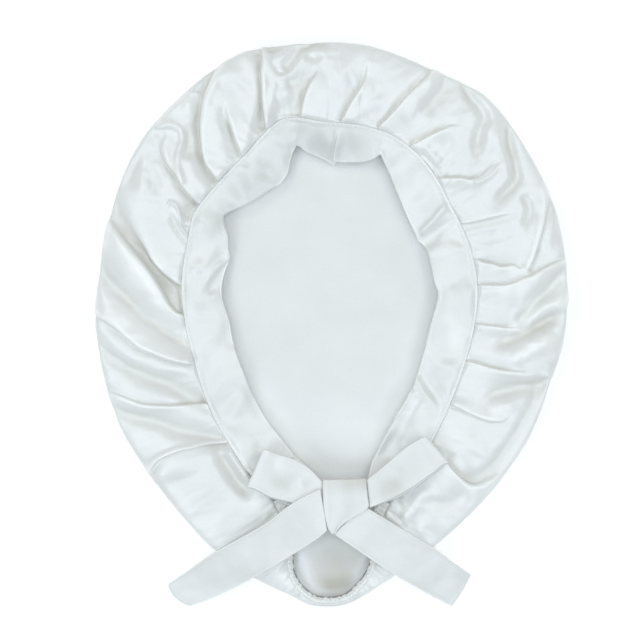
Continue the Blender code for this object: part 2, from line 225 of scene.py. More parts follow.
# Soft folds of the crown: ridges, and valleys with a height below 0.
# height, half_width, line
SOFT_FOLDS = (
    (-2.4, 3.4, ((-98.5, 14), (-103, 19), (-109, 26.5), (-117, 36))),
    (-2.8, 5.5, ((-100.5, -13.5), (-108.5, -7.5), (-122.5, 1.5), (-136, 13.5), (-150.5, 28), (-158.5, 36))),
    (1.6, 8, ((-111, 11.5), (-122.5, 26), (-133.5, 39), (-144.5, 53.5), (-151.5, 63))),
    (1.4, 6, ((-100, -22), (-115.5, -12), (-129, -1.5), (-143, 10), (-155, 23))),
    (-1.5, 5, ((-123, 43), (-130, 52.5), (-138, 63), (-145, 76), (-149, 85))),
    (1, 5, ((-98, -29), (-115.5, -28), (-136, -22), (-149, -13.5))),
    (-2.8, 4.8, ((-84.5, -52.5), (-94.5, -49), (-105, -43), (-119, -36.5), (-132.5, -31), (-148, -22))),
    (-2.6, 4.8, ((-71.5, -79), (-77.5, -77), (-91, -73.5), (-105, -70.5), (-119, -65), (-132.5, -61.5),
     (-151.5, -58.5))),
    (1.4, 9, ((-89, -93), (-102.5, -93), (-113, -97), (-117.5, -105.5))),
    (-3.6, 3.4, ((-76, -86.5), (-68, -99.5), (-63, -107), (-57, -113.5), (-53.5, -119))),
    (1.8, 2.8, ((-69.5, -81.5), (-67, -90), (-61, -97), (-56, -105.5), (-52.5, -111))),
    (1.5, 1, ((-97, 60.5), (-99.5, 63), (-101.5, 66.5), (-102, 73), (-103.5, 78), (-105.5, 81.5),
     (-108.5, 83), (-110.5, 81), (-110.5, 76))),
    (0.8, 0.7, ((-97, 60), (-100.5, 64), (-103, 68), (-105, 73.5), (-108, 77.5))),
    (-1.6, 2, ((-98, 58), (-102, 62.5), (-105.5, 68.5), (-109, 75.5))),
    (-2.6, 4, ((-90, 81), (-94.5, 77), (-96.5, 71.5), (-97, 66))),
    (1.3, 1.7, ((-100, 94), (-102.5, 102.5), (-104, 110), (-102.5, 119), (-100.5, 126), (-102, 132),
     (-106, 134.5), (-111, 136), (-116.5, 134.5))),
    (-1.4, 2.2, ((-97, 112), (-97, 120.5), (-97, 127), (-98.5, 134))),
    (1.4, 5, ((-85.5, 92), (-92, 101.5), (-96, 110), (-98, 117.5))),
    (1.3, 3, ((-98.5, 155.5), (-96, 149.5), (-95.5, 143), (-98, 138))),
    (1, 3.5, ((-86.5, 145), (-84.5, 155), (-80, 164), (-73.5, 169.5), (-66.5, 170.5))),
    (1.2, 6, ((-73, 105.5), (-75, 119), (-78, 136), (-78, 150.5), (-75, 161))),
    (0.9, 1.4, ((-138.5, 105.5), (-129, 121.5), (-121.5, 133.5), (-114, 140.5), (-100.5, 152.5))),
    (1.2, 5, ((-126, 85), (-126.5, 99.5), (-126, 113.5), (-121.5, 124.5), (-116.5, 130.5))),
    (-1.4, 4, ((-116.5, 87.5), (-120.5, 98.5), (-121.5, 109.5), (-118.5, 119))),
    (-1.4, 5, ((-138.5, 90.5), (-138, 98.5), (-134, 105.5))),
    (1.4, 3.4, ((-58, 120.5), (-56, 132.5), (-52.5, 145), (-50, 155), (-50.5, 166.5), (-55, 177.5),
     (-59, 183))),
    (0.8, 1.8, ((-43, 138), (-41, 148.5), (-39, 160), (-37.5, 170.5))),
    (-2, 3.2, ((-34, 170.5), (-30, 176), (-25, 182), (-21, 187.5), (-16.5, 190.5))),
    (-1.1, 1.3, ((-31.5, 169.5), (-35.5, 171.5), (-37.5, 175), (-40, 180), (-41, 185.5))),
    (1.2, 3.2, ((-35.5, 176), (-32, 183), (-27, 189))),
    (0.9, 2, ((-37.5, 169.5), (-32, 167.5), (-27, 170.5), (-21, 179), (-15.5, 184.5), (-10, 185))),
    (-1.2, 3.5, ((-34.5, 164), (-28, 163.5), (-21, 166.5), (-15.5, 173.5))),
    (1.2, 3.5, ((-44, 137.5), (-41, 145.5), (-34, 154.5), (-24, 160.5))),
    (-1.8, 7, ((-34.5, 146), (-29, 149), (-22.5, 150.5))),
    (-1.6, 3.5, ((-49, 185.5), (-43, 185.5), (-34.5, 188.5))),
    (1, 4, ((-9, 185), (-2, 179), (3.5, 172))),
    (-1.4, 3.5, ((-17, 189.5), (-13, 183), (-6, 179))),
    (1, 5, ((-9, 142), (-3.5, 153), (2, 164), (9.5, 173.5), (14.5, 181.5))),
    (-1.2, 5, ((26.5, 177.5), (26.5, 169.5), (22.5, 160))),
    (0.9, 3, ((13, 140), (21, 145), (30.5, 150.5), (39, 154.5))),
    (1.2, 4, ((47, 138), (57.5, 149), (64.5, 158), (71.5, 168))),
    (-1.4, 5, ((63, 141), (68, 149), (75, 158.5), (77, 168))),
    (-2.2, 3, ((88.5, 166.5), (92, 160.5), (96.5, 153), (102, 146.5), (104.5, 139.5), (101.5, 132.5),
     (99, 124.5), (98.5, 114), (99.5, 107))),
    (1.4, 3.6, ((94.5, 165), (101.5, 155.5), (108, 147.5), (108.5, 138), (107, 129), (109.5, 119),
     (111, 113.5))),
    (-2.9, 3, ((122.5, 137.5), (120.5, 128), (122.5, 117.5), (125, 107), (126, 99.5), (121.5, 93),
     (115.5, 87), (111, 81), (107.5, 75.5))),
    (1.2, 4.5, ((115, 134), (115.5, 122.5), (118.5, 109), (119.5, 100))),
    (-1.4, 2.2, ((60.5, 115), (65.5, 111), (70.5, 105), (74, 100))),
    (0.9, 2.6, ((63, 119.5), (69.5, 113.5), (75.5, 107))),
    (-0.8, 4, ((75, 130), (76, 119), (78, 109.5), (79, 102.5))),
    (1.1, 1, ((96, 95), (102, 97.5), (107.5, 101), (111.5, 105), (113.5, 110))),
    (-1.8, 2.4, ((129, 89), (133.5, 83), (134.5, 77), (132.5, 70.5), (129, 64.5))),
    (-0.6, 3.4, ((111, 66), (110, 58), (108, 49.5))),
    (-0.6, 3.5, ((126, 63), (128, 55), (126, 48.5))),
    (1.2, 4, ((143, 49.5), (146, 58), (149.5, 70), (152.5, 81))),
    (-3.1, 4, ((160, 39), (154, 32), (147, 23.5), (140, 16.5), (133.5, 8), (125, 2), (119.5, 0))),
    (1.4, 6, ((113.5, 22.5), (125, 23), (138, 28.5), (149, 35.5))),
    (2.5, 4, ((119.5, -3.5), (130, -2), (136.5, 4), (143.5, 10), (154, 14.5), (160.5, 18.5))),
    (-3.5, 4.6, ((155.5, 11), (152, 8), (143.5, 3), (129.5, -4.5), (117.5, -10.5), (109.5, -17))),
    (2.3, 5, ((153, -6), (140, -13.5), (129.5, -19.5), (121.5, -26))),
    (-2.9, 4.6, ((149, -36.5), (140, -40.5), (126.5, -42), (116, -45.5), (105.5, -51.5), (98, -56))),
    (1, 3.5, ((120.5, -34), (130, -34.5), (142, -34.5))),
    (1.4, 4.5, ((104, -57), (111.5, -54.5), (118.5, -55), (123, -60.5))),
    (-1.6, 4.5, ((88, -101), (96, -104), (104, -101), (112, -94), (120, -84), (128, -72), (134, -61))),
    (1.1, 4.5, ((98, -112.5), (109, -107), (120, -96), (130, -82), (138, -68))),
    (1, 5, ((86, -77), (96, -80), (107, -85))),
    (-1.3, 4, ((92, -112), (84, -118), (74, -121), (64, -121))),
    (1.2, 3.2, ((50, -133), (56, -123), (62, -116), (72, -109))),
    (-1, 3.6, ((55, -141), (60, -131), (67, -126))),
)

# The band's free inner edge in plain form: the section it lies opposite, counted from 0, and where
# it is.
# section, inner_x, inner_y, inner_z
PLAIN_EDGE = (
    (25.2, -29.5, -84.5, 15.6),
    (26, -36.5, -74, 15.6),
    (26.7, -45, -63, 15.6),
    (27.4, -54.5, -45, 15),
    (28, -61.5, -28.5, 15.6),
    (28.6, -67, -10, 16.2),
    (29.2, -71.5, 8, 15.6),
    (30, -74, 26, 16.2),
    (30.7, -69, 46, 15),
    (31.4, -72, 61, 16.2),
    (32, -73.5, 72, 16.2),
    (33, -56.5, 83.5, 15.6),
    (34, -38, 95, 16.2),
    (35, -28.5, 106, 15.6),
    (36, -27, 115, 15),
    (37, -22, 121.5, 16.2),
    (38, -7.5, 114, 15.6),
    (38.4, 1.5, 109, 14.4),
    (38.7, 7, 112, 15.6),
    (39, 18.5, 111, 16.2),
    (39.6, 34, 115.5, 15.6),
    (40, 38, 105.5, 15),
    (40.5, 43, 94, 16.2),
    (41, 48.5, 83, 16.2),
    (41.5, 54.5, 68.5, 15.6),
    (42, 60, 56.5, 14.4),
    (43, 68.5, 39.5, 15.6),
    (44, 73.5, 20, 16.2),
    (45, 66, -7, 15.6),
    (46, 59, -33.5, 15),
    (47, 47.5, -56.5, 15.6),
    (48, 33.5, -82, 15.6),
    (48.6, 30, -88.5, 15.9),
)
# The same edge with all its waves and corners.
# inner_x, inner_y
BAND_EDGE = (
    (-25, -89), (-30, -82.5), (-36.5, -74), (-45, -63), (-54.5, -45), (-61.5, -28.5), (-67, -10),
    (-69.5, 3.5), (-73, 14.5), (-74.5, 22), (-74, 29), (-71.5, 38), (-69, 44.5), (-68.5, 46), (-69, 48),
    (-70, 53.5), (-70.5, 60), (-72.5, 66), (-73.5, 71.5), (-73, 75), (-69.5, 77.5), (-64, 80),
    (-56.5, 83), (-47, 88.5), (-38, 94), (-34, 96.5), (-32, 99), (-29, 105), (-28, 110), (-26.5, 116),
    (-24, 121), (-23.5, 122), (-22, 121.5), (-17, 118), (-8, 114), (-2, 111), (1, 109), (2, 109),
    (2.5, 110), (9.5, 110.5), (21, 111), (29, 113.5), (33.5, 116), (34.5, 115.5), (36, 113),
    (39.5, 103.5), (45.5, 88.5), (53.5, 70), (58, 60.5), (59.5, 57), (61, 56), (65, 51.5), (68, 41.5),
    (70.5, 29), (73, 20), (71, 11), (66, -7), (64.5, -14.5), (60.5, -28.5), (57, -39.5), (51, -52),
    (41, -67.5), (34, -81.5), (30, -88.5),
)
PLAIN_POINTS = 4000  # along the plain edge, to find the place nearest to a point
PLAIN_REACH = 700  # the nearest place lies at most this many of them further on than the last

# The band's ends go on under the bow to the knot.
# outer_x, outer_y, outer_z, inner_x, inner_y, inner_z
BAND_LEFT_END = (
    (-6.2, -124.5, 20.3, -6.6, -107, 20.3),
    (-25, -124, 19.3, -14, -98.5, 17.8),
    (-42, -113.5, 18.8, -23, -90.5, 16.5),
)
BAND_RIGHT_END = (
    (43.5, -109, 18.8, 27, -95.5, 16.8),
    (26, -121.5, 20.3, 24.4, -106, 20.3),
)

# Ribbons, one row for each cross line: the two ends of the line.
# upper_x, upper_y, upper_z, lower_x, lower_y, lower_z
LOOP_LEFT = (
    (-6.2, -105.2, 30, -5.4, -126.6, 28.6),
    (-15.5, -96, 30, -15.5, -122.5, 28.8),
    (-25, -90.5, 29.8, -26.5, -119.7, 28.6),
    (-36.5, -87, 29.4, -41, -115.8, 28.2),
    (-43.8, -84.1, 29.2, -54.8, -109.7, 28.4),
    (-45.3, -83.6, 28.6, -56.6, -109.8, 27.8),
    (-45.5, -83.6, 26.4, -56.9, -109.9, 25.8),
    (-45, -84.1, 24, -56.4, -110.2, 23.8),
    (-42, -85.6, 23.2, -52, -111.5, 23),
    (-35, -89.5, 22.4, -40, -117.4, 22.4),
    (-22, -94.5, 22.4, -24, -121.6, 22.4),
    (-6.6, -107, 23.4, -5.8, -125.4, 23.4),
)
LOOP_RIGHT = (
    (24.1, -104.4, 29.8, 26.1, -123.2, 29.2),
    (34.5, -95.8, 30.8, 37.7, -118.2, 30),
    (48, -84.2, 31.2, 50.5, -111.5, 30.4),
    (58, -77.6, 31, 68.5, -99.2, 30.6),
    (61.6, -75.9, 30.9, 76.4, -93.3, 30.6),
    (63.2, -75.3, 30.4, 78.6, -92.8, 30.1),
    (63.5, -75.2, 28.6, 79, -92.8, 28.4),
    (63, -75.6, 27.2, 78.4, -93.3, 27.1),
    (60, -77.6, 26.5, 74, -96.6, 26.5),
    (47.5, -87, 24.2, 52.5, -112.8, 24),
    (35, -98, 22.7, 38.5, -119.4, 22.7),
    (24.4, -106, 23.2, 26.3, -122, 23.2),
)
TAIL_LEFT = (
    (-7.3, -110, 32.2, -2.9, -138.4, 30.4),
    (-20, -116.2, 32.8, -7, -142.2, 30.8),
    (-45, -134, 30.8, -30, -157.5, 26.8),
    (-62, -144, 26.8, -47, -168, 20.8),
    (-79, -154, 18.8, -63.5, -177.5, 13.2),
    (-95, -165.5, 10.2, -80.5, -186, 6.6),
    (-111, -177.2, 2.4, -96, -192.4, 1.2),
)
TAIL_RIGHT = (
    (25.4, -123.8, 28, 2.2, -141.4, 27),
    (38, -131.5, 27.8, 19.7, -153.4, 26.2),
    (54, -141.2, 23.8, 38, -166, 19.8),
    (70, -151.3, 16.2, 55, -176.6, 12.6),
    (83, -161.5, 9.3, 69, -185, 6),
    (95.3, -170.4, 2.4, 82.3, -192.4, 1.2),
)
# name, node, rows, mesh lines, how far the two ends are rounded out, length of the flat cloth in metres
RIBBONS = (
    ("satin_loop_left", "bow_loop_left", LOOP_LEFT, 260, (0, 0), 0.09),
    ("satin_loop_right", "bow_loop_right", LOOP_RIGHT, 260, (0, 0), 0.12),
    ("satin_tail_left", "tie_tail_left", TAIL_LEFT, 220, (0, 3.2), 0.14),
    ("satin_tail_right", "tie_tail_right", TAIL_RIGHT, 200, (1.8, 0.8), 0.12),
)

# The knot, one row for each cross-section from its upper edge to its tip.
# left_x, left_y, right_x, right_y, low, high
KNOT = (
    (-5.8, -104.2, 23.8, -103.2, 22.8, 32.6),
    (-6, -108.5, 24, -107.5, 19.8, 33.2),
    (-5.6, -117, 24.7, -115, 18.8, 33.4),
    (-4.8, -126, 25, -123, 19.3, 32.8),
    (-3.4, -132.5, 14.5, -130, 21.8, 32),
    (-1.6, -138, 6.2, -136, 24.8, 31),
    (0.6, -141, 2.6, -140.6, 26.6, 29.8),
)
KNOT_SQUARENESS = 0.17  # exponent of the cross-section, 1 for an ellipse
KNOT_STEPS = 70  # mesh lines down the knot
KNOT_SIDES = 200  # and round it

# Soft folds of the band: ridges, and valleys with a height below 0.
BAND_FOLDS = (
    (-0.7, 1, ((-62, 110.5), (-55, 107.5))),
    (-0.9, 2.8, ((-46, 103), (-38, 99))),
    (1.1, 2.4, ((-67, 48), (-73, 43), (-79.5, 38), (-86, 28.5), (-91, 18))),
    (-1.4, 2.8, ((-67, 41), (-74, 35), (-80, 27), (-84, 18))),
    (-1.3, 3.5, ((-75, 33), (-72, 18))),
    (0.9, 4, ((-96, 36), (-88, 40), (-80, 50), (-74, 62))),
    (-1.2, 4.5, ((-77, -60), (-68, -50), (-60, -41))),
    (0.8, 4, ((-84, -50), (-74, -42), (-66, -32))),
    (1.6, 2.6, ((60, 61.5), (68, 69.5), (76, 78.5), (84, 86))),
    (-1.8, 3, ((60.5, 55), (68.5, 60.5), (77.5, 67.5), (86, 73))),
    (1, 4, ((64, 48), (74, 52), (85, 52), (95, 48))),
    (-0.9, 4, ((72, 24), (82, 30), (92, 38))),
    (1.3, 2.4, ((57, -34), (63, -44.5), (69.5, -54.5), (74, -62))),
    (-1.4, 2.8, ((61, -31), (67.5, -41.5), (73.5, -51), (79, -57))),
    (1.6, 2.2, ((56, -44), (48, -58), (40.5, -72.5), (33.8, -83.5), (29, -96.5))),
    (-1.7, 2.6, ((61, -48), (54, -60), (46, -74), (39.5, -84), (34, -94))),
)
BAND_TUCKS = (
    (-1, 0.9, 6, 1.3, 5, 0.5, ((1.5, 109), (1.5, 115.5), (2.5, 122.5), (4.5, 131), (4.8, 135.5))),
)
LINING_FOLDS = (
    (-0.7, 3, ((-2, -64.5), (20, -65), (42, -63.5))),
    (1.1, 2.6, ((-21, -152), (-16.5, -164), (-13.3, -172), (-13, -181))),
)
# Soft dents of the bow's loops, only on the loops' upper layers.
RIBBON_FOLDS = (
    (-1.2, 4.4, ((-42, -101), (-32, -106.5), (-19, -109))),
    (0.9, 4.5, ((-38, -93), (-26, -98), (-12, -106))),
    (-1, 5, ((30, -113), (38, -111), (46, -105))),
    (0.8, 5, ((40, -97), (52, -90), (62, -82))),
)
LOOP_MIDDLE = 26.5

# Lines of painted shade, and of painted light with a shade below 0: shadows, darker hollows and highlights
# painted into the cloth's colour.
# shade, half_width, line
CROWN_PAINTED_SHADES = (
    (1.6, 2, ((45.5, -113), (47, -118), (48.8, -125.5), (45.8, -134))),
    (-0.8, 9, ((40, -118), (44, -130), (52, -142))),
    (0.35, 20, ((-118, -82), (-100, -100), (-82, -118))),
    (-0.8, 3, ((158, 36), (150, 29), (142, 20), (134, 14), (126, 10), (118, 6))),
    (0.5, 3.5, ((160, 42), (149, 30), (139, 14), (128, 5), (118, -0.5))),
    (-1.1, 3, ((159, 19), (149, 13), (139, 8), (128, 2), (119, -6), (111, -13))),
    (0.7, 4.5, ((157, 9), (149, 2), (137, -3.5), (125, -8), (111, -17))),
    (-1.1, 3.2, ((154, -6), (143, -11), (135, -15), (126, -21), (118, -28))),
    (0.4, 4, ((154, -25), (145, -28), (133, -31))),
    (-0.6, 4, ((96, -54), (104, -57), (112, -56), (117, -60))),
    (-0.5, 4.5, ((-111, 11.5), (-122.5, 26), (-133.5, 39), (-144.5, 53.5), (-151.5, 63))),
    (-0.6, 4, ((-100, -22), (-115.5, -12), (-129, -1.5), (-143, 10), (-155, 23))),
    (0.35, 4.5, ((-102, -12), (-122.5, 1.5), (-136, 13.5), (-150.5, 28), (-158.5, 36))),
    (-0.8, 8, ((-58, -110), (-47, -121), (-38, -132))),
    (-0.6, 6, ((-44, -158), (-34, -170), (-24, -180))),
    (-0.6, 6, ((44, -160), (36, -170), (26, -182))),
    (0.9, 3, ((-49, 187.5), (-41, 187.5), (-34, 187))),
    (0.9, 3, ((-18, 191), (-9, 190), (0, 189.5))),
)
LINING_PAINTED_SHADES = (
    (3.2, 7.5, ((-12, -179), (4, -180), (20, -176))),
    (-0.8, 2.2, ((-19.5, -158), (-15.5, -170), (-13.5, -182))),
    (0.9, 5, ((-12, -139), (0, -140), (12, -140))),
    (2, 17, ((4, -142), (4, -155), (2, -168), (1, -182))),
    (1, 7, ((-18, -166), (-14, -174), (-10, -182))),
    (0.7, 6, ((16, -164), (15, -172), (12, -180))),
    (0.8, 8, ((16, -150), (20, -160), (16, -170))),
)
# Painted light on the back under the edges of the opening, where their shadow falls, by this shade, at
# these distances from front to nape.
LINING_PAINTED_LIGHT = (
    (-178, -150, -128, -115, -100, -50, 0, 60, 100, 130),
    (1.6, 1.6, 1.4, 2.4, 1.2, 1.2, 0.1, 0, 0.2, 0.4),
)
RIM_REACH = ((-150, -110), (6, 10))  # how far that painted light reaches, in the same way
RIM_PAINTED_LIGHT = 0.9  # more painted light, close to the edges
RIM_WIDTH = 4.5
LOWER_PAINTED_LIGHT = 0.42  # painted light: the lower half of the back is lighter all over
# Lines of painted shade and painted light on the band.
BAND_PAINTED_SHADES = (
    (1, 9, ((-26, 125), (-12, 126), (0, 120), (14, 122), (30, 124))),
    (0.8, 10, ((-66, 84), (-50, 96), (-37, 112))),
    (0.8, 5, ((-3, 116), (4, 114))),
    (0.3, 12, ((-84, -30), (-74, -52), (-60, -74))),
    (0.8, 5, ((-84, 56), (-78, 68), (-70, 80))),
    (0.8, 4, ((-94, 8), (-86, 16), (-80, 28))),
    (-0.8, 4, ((-78, 4), (-84, 14), (-86, 26))),
    (-0.8, 5, ((76, 10), (84, -4), (80, -20))),
    (0.7, 4, ((96, 34), (88, 26), (80, 22))),
    (0.8, 3, ((57.5, -34), (50, -49), (42, -64), (36, -76))),
    (0.7, 3.5, ((-62, -40), (-56, -52), (-48, -66))),
)
# Lines of painted shade and painted light on the bow's loops.
RIBBON_PAINTED_SHADES = (
    (1.1, 4.6, ((-42, -103), (-33, -107.5), (-25, -109))),
    (0.6, 3.6, ((-21, -107.5), (-14, -108))),
    (-0.5, 4, ((-20, -99), (-12, -105))),
    (-0.4, 6, ((-44, -90), (-28, -95))),
    (1.2, 6, ((29, -115), (38, -112), (50, -105))),
    (-0.3, 4, ((34, -101), (50, -91))),
    (0.35, 13, ((30, -108), (48, -99), (68, -87))),
)
PAINTED_SHADE_TINT = (-0.145, -0.155, -0.187)  # what a painted shade of 1 adds to the cloth's colour, as a share of it
# the same for the band's painted shade
BAND_PAINTED_SHADE_TINT = (-0.155, -0.145, -0.15)
PAINTED_LIGHT_TINT = (0.14, 0.14, 0.13)  # what a painted light of -1 adds
SATIN_ROUGHNESS = 0.47

# Thread
LIP = 1.9  # the topstitching runs this far inside the band's sewn edge
STITCH = 2.2  # length of a stitch
STITCH_GAP = 0.9
STITCH_RADIUS = 0.21
STITCH_ARCH = 0.16  # the middle of a stitch stands this much above its ends
ZIGZAG_WIDTH = 2.4  # at most
ZIGZAG_MARGIN = 0.95  # from the zigzag's corners to the hem's edges
ZIGZAG_PITCH = 1.75  # from corner to corner along the hem
ZIGZAG_DRIFT = 1.1  # a corner is out of step by up to this much
ZIGZAG_RADIUS = 0.46
ZIGZAG_LIFT = 0.4  # from the hem's surface to the thread's middle


def ease(x):
    """Rises smoothly from 0 at x = 0 to 1 at x = 1."""
    x = np.clip(x, 0, 1)
    return x * x * (3 - 2 * x)


def bell(x, width):
    """1 at x = 0, falling smoothly on both sides over about the width."""
    return np.exp(-((x / width) ** 2))


def lengths(path):
    """Distance along a path at each of its points."""
    return np.concatenate([[0], np.cumsum(np.linalg.norm(np.diff(path, axis=0), axis=1))])


def smooth(rows, at, closed=False):
    """The rows as one smooth curve, read at row numbers that need not be whole."""
    rows = np.asarray(rows, float)
    at = np.asarray(at, float)
    count = len(rows)
    if closed:
        ahead = np.roll(rows, -1, axis=0) - rows
    else:
        ahead = np.vstack([np.diff(rows, axis=0), rows[-1] - rows[-2]])
    length = np.linalg.norm(ahead, axis=1)[:, None]
    slope = ahead / length
    back, back_length = np.roll(slope, 1, axis=0), np.roll(length, 1, axis=0)
    tangent = (back * length + slope * back_length) / (length + back_length)
    first = np.floor(at).astype(int)
    if not closed:
        tangent[0], tangent[-1] = slope[0], slope[-1]
        first = np.clip(first, 0, count - 2)
    part = (at - first)[:, None]
    a, b = first % count, (first + 1) % count
    span = length[a]
    return (
        (1 + 2 * part) * (1 - part) ** 2 * rows[a]
        + part * (1 - part) ** 2 * span * tangent[a]
        + part**2 * (3 - 2 * part) * rows[b]
        - part**2 * (1 - part) * span * tangent[b]
    )


def even_rows(rows, steps):
    """Row numbers that cut the smooth curve through the rows into equal lengths."""
    last = len(rows) - 1
    fine = np.linspace(0, last, 40 * last + 1)
    run = lengths(smooth(rows, fine))
    return np.interp(np.linspace(0, run[-1], steps + 1), run, fine)


def section_points(at):
    """Seam in plan, the seam's height, and the outline in plan, at these section numbers."""
    found = smooth(SECTIONS, at, closed=True)
    return found[:, 0:2], found[:, 2], found[:, 3:5]


def inward(at):
    """Unit vectors in plan, square to the seam and towards the head opening."""
    step = 0.05
    along = section_points(at + step)[0] - section_points(at - step)[0]
    along /= np.linalg.norm(along, axis=1)[:, None]
    return np.stack([along[:, 1], -along[:, 0]], axis=1)


def near_line(points, line, reach):
    """Which points in plan are near a smooth line, how far to its left each of them is, at what
    share of its length, how far before its start and past its end, and the line's directions."""
    path = smooth(line, even_rows(line, LINE_STEPS))
    low, high = path.min(axis=0) - reach, path.max(axis=0) + reach
    found = np.flatnonzero(np.all((points > low) & (points < high), axis=1))
    ahead = np.gradient(path, axis=0)
    step = np.linalg.norm(ahead, axis=1)
    ahead /= step[:, None]
    away = points[found][:, None] - path[None]
    nearest = np.linalg.norm(away, axis=2).argmin(axis=1)
    offset = away[np.arange(len(found)), nearest]
    tangent = ahead[nearest]
    left = tangent[:, 0] * offset[:, 1] - tangent[:, 1] * offset[:, 0]
    along = np.sum(offset * tangent, axis=1)
    share = np.clip((nearest + np.clip(along / step[nearest], -0.5, 0.5)) / LINE_STEPS, 0, 1)
    before = np.where(nearest == 0, np.maximum(-along, 0), 0)
    after = np.where(nearest == LINE_STEPS, np.maximum(along, 0), 0)
    return found, left, share, before, after, ahead


def share_at(points, shares, place):
    """The share of the way to the outline at a place in plan."""
    return shares[np.linalg.norm(points - np.asarray(place), axis=1).argmin()]


def runs_out(points, shares, end):
    """1 for a line that ends at the outline and goes on over it, 0 for one that ends well inside."""
    return float(ease((share_at(points, shares, end) - 0.72) / 0.2))


def soft_floor(rise, low):
    """The rise, with what is below 0 pressed up so that it stays above the low."""
    return np.where(rise < 0, low * np.tanh(rise / low), rise)


def tuck_height(points, tucks, shares=None):
    """Height, sideways lean and painted shade that the tucks add at points in plan: painted shadow at the
    foot of each edge and a painted highlight on its crest. The shares of the way to the outline, where
    given, let a tuck run out over the outline."""
    height, painted_shade = np.zeros((2, len(points)))
    lean = np.zeros((len(points), 2))
    for side, rise, rise_width, drop, drop_width, edge, line in tucks:
        reach = 2.5 * max(rise_width, drop_width)
        found, left, share, before, after, ahead = near_line(points, line, reach)
        out = 0 if shares is None else runs_out(points, shares, line[-1])
        across = side * left
        soft = edge * (1 + 1.2 * share**2)
        raised = 0.5 + 0.5 * np.tanh(across / soft)
        ridge = rise * bell(np.maximum(across, 0), rise_width)
        ridge += EDGE_BEAD * bell(across - 1.6 * soft, 1.5 * soft)
        hollow = drop * bell(np.minimum(across, 0), drop_width)
        fade = 1 - (1 - 0.75 * out) * ease((share - 0.5) / 0.5)
        fade *= bell(before + (1 - out) * after, 2.5)
        height[found] += fade * (raised * ridge - (1 - raised) * hollow)
        # Painted shadow at the foot of the edge and a painted highlight on its crest.
        foot = bell(across + 2 * soft, 1.7 * soft)
        crest = bell(across - 1.4 * soft, soft)
        painted_shade[found] += fade * (FOOT_PAINTED_SHADOW * foot - CREST_PAINTED_HIGHLIGHT * crest)
        tangent = ahead[np.rint(share * LINE_STEPS).astype(int)]
        leftward = np.stack([-tangent[:, 1], tangent[:, 0]], axis=1)
        push = EDGE_LEAN * fade * bell(across - edge, 1.6 * edge)
        lean[found] -= side * push[:, None] * leftward
    return height, lean, painted_shade


def fold_height(points, folds, shares=None, widen=1):
    """Height that the soft folds add at points in plan. Where shares are given, a fold that starts at
    the band or ends at the outline keeps its height there."""
    height = np.zeros(len(points))
    for rise, half_width, line in folds:
        half_width = widen * half_width
        found, left, share, before, after, _ = near_line(points, line, 3 * half_width + 8)
        length = lengths(line)[-1]
        out, rooted = 0, 0
        if shares is not None:
            out = runs_out(points, shares, line[-1])
            rooted = 1 - float(ease((share_at(points, shares, line[0]) - 0.08) / 0.12))
        start = ease((share * length + 0.4 * half_width) / (2 * half_width))
        finish = ease(((1 - share) * length + 0.4 * half_width) / max(0.35 * length, 2 * half_width))
        fade = (rooted + (1 - rooted) * start) * (out + (1 - out) * finish)
        height[found] += rise * fade * bell(np.hypot(left, before + (1 - out) * after), half_width)
    return height


def along_seam():
    """Section numbers close together, and the distance along the middle of the crown's top there."""
    fine = np.linspace(0, len(SECTIONS), SEAM_POINTS)
    seam, _, outline = section_points(fine)
    return fine, lengths((seam + outline) / 2)


def tuck_places():
    """For each tuck: the share of the way to the outline and the distance round, along its line."""
    fine = np.linspace(0, len(SECTIONS), SEAM_POINTS // 2 + 1)[:-1]
    seam, _, outline = section_points(fine)
    reach = outline - seam
    width = np.linalg.norm(reach, axis=1)
    places = []
    sections, run = along_seam()
    for tuck in TUCKS:
        line = smooth(tuck[-1], even_rows(tuck[-1], 40))
        share = np.sum((line[:, None] - seam) * reach, axis=2) / width**2
        aside = np.linalg.norm(line[:, None] - seam - share[..., None] * reach, axis=2)
        best = (aside + 1000 * ((share < -0.1) | (share > 1.1))).argmin(axis=1)
        share = share[np.arange(len(line)), best]
        rising = np.concatenate([[True], share[1:] > np.maximum.accumulate(share)[:-1] + 1e-4])
        distance = np.interp(fine[best[rising]], sections, run)
        places.append((share[rising], np.unwrap(distance, period=run[-1])))
    return places


def column_places(shares):
    """Section numbers of the columns at each ring, with more of them along the tucks."""
    fine, run = along_seam()
    whole = run[-1]
    places = tuck_places()
    rows = []
    for share in shares:
        density = np.ones(len(run))
        for tuck_shares, distances in places:
            here = np.interp(share, tuck_shares, distances)
            apart = np.abs(run - here % whole)
            apart = np.minimum(apart, whole - apart)
            present = ease((tuck_shares[-1] + 0.1 - share) / 0.2)
            present *= ease((share - tuck_shares[0] + 0.2) / 0.2)
            density += present * sum(gain * bell(apart, near) for gain, near in PACKING)
        density = np.maximum(density, LEAST_PACKING)
        count = np.concatenate([[0], np.cumsum((density[1:] + density[:-1]) / 2 * np.diff(run))])
        count *= COLUMNS / count[-1]
        rows.append(np.interp(np.arange(COLUMNS), count, fine))
    return np.array(rows)


def new_mesh(name, points, faces, uv, material, painted_shade=None):
    """An object in the scene from points in mm, faces, and a UV pair for each face corner in mm. The
    painted shade, where given, darkens the cloth's colour with painted shade above 0 and lightens it
    with painted light below 0, at each point."""
    mesh = bpy.data.meshes.new(name)
    mesh.from_pydata((np.asarray(points) * MM).tolist(), [], faces)
    mesh.shade_smooth()
    layer = mesh.uv_layers.new(name="cloth")
    layer.data.foreach_set("uv", (np.asarray(uv, np.float32) * MM).ravel())
    if painted_shade is not None:
        painted_shade_layer = mesh.attributes.new("painted_shade", "FLOAT", "POINT")
        painted_shade_layer.data.foreach_set("value", np.asarray(painted_shade, np.float32).ravel())
    mesh.materials.append(material)
    mesh.update()
    piece = bpy.data.objects.new(name, mesh)
    bpy.context.scene.collection.objects.link(piece)
    return piece


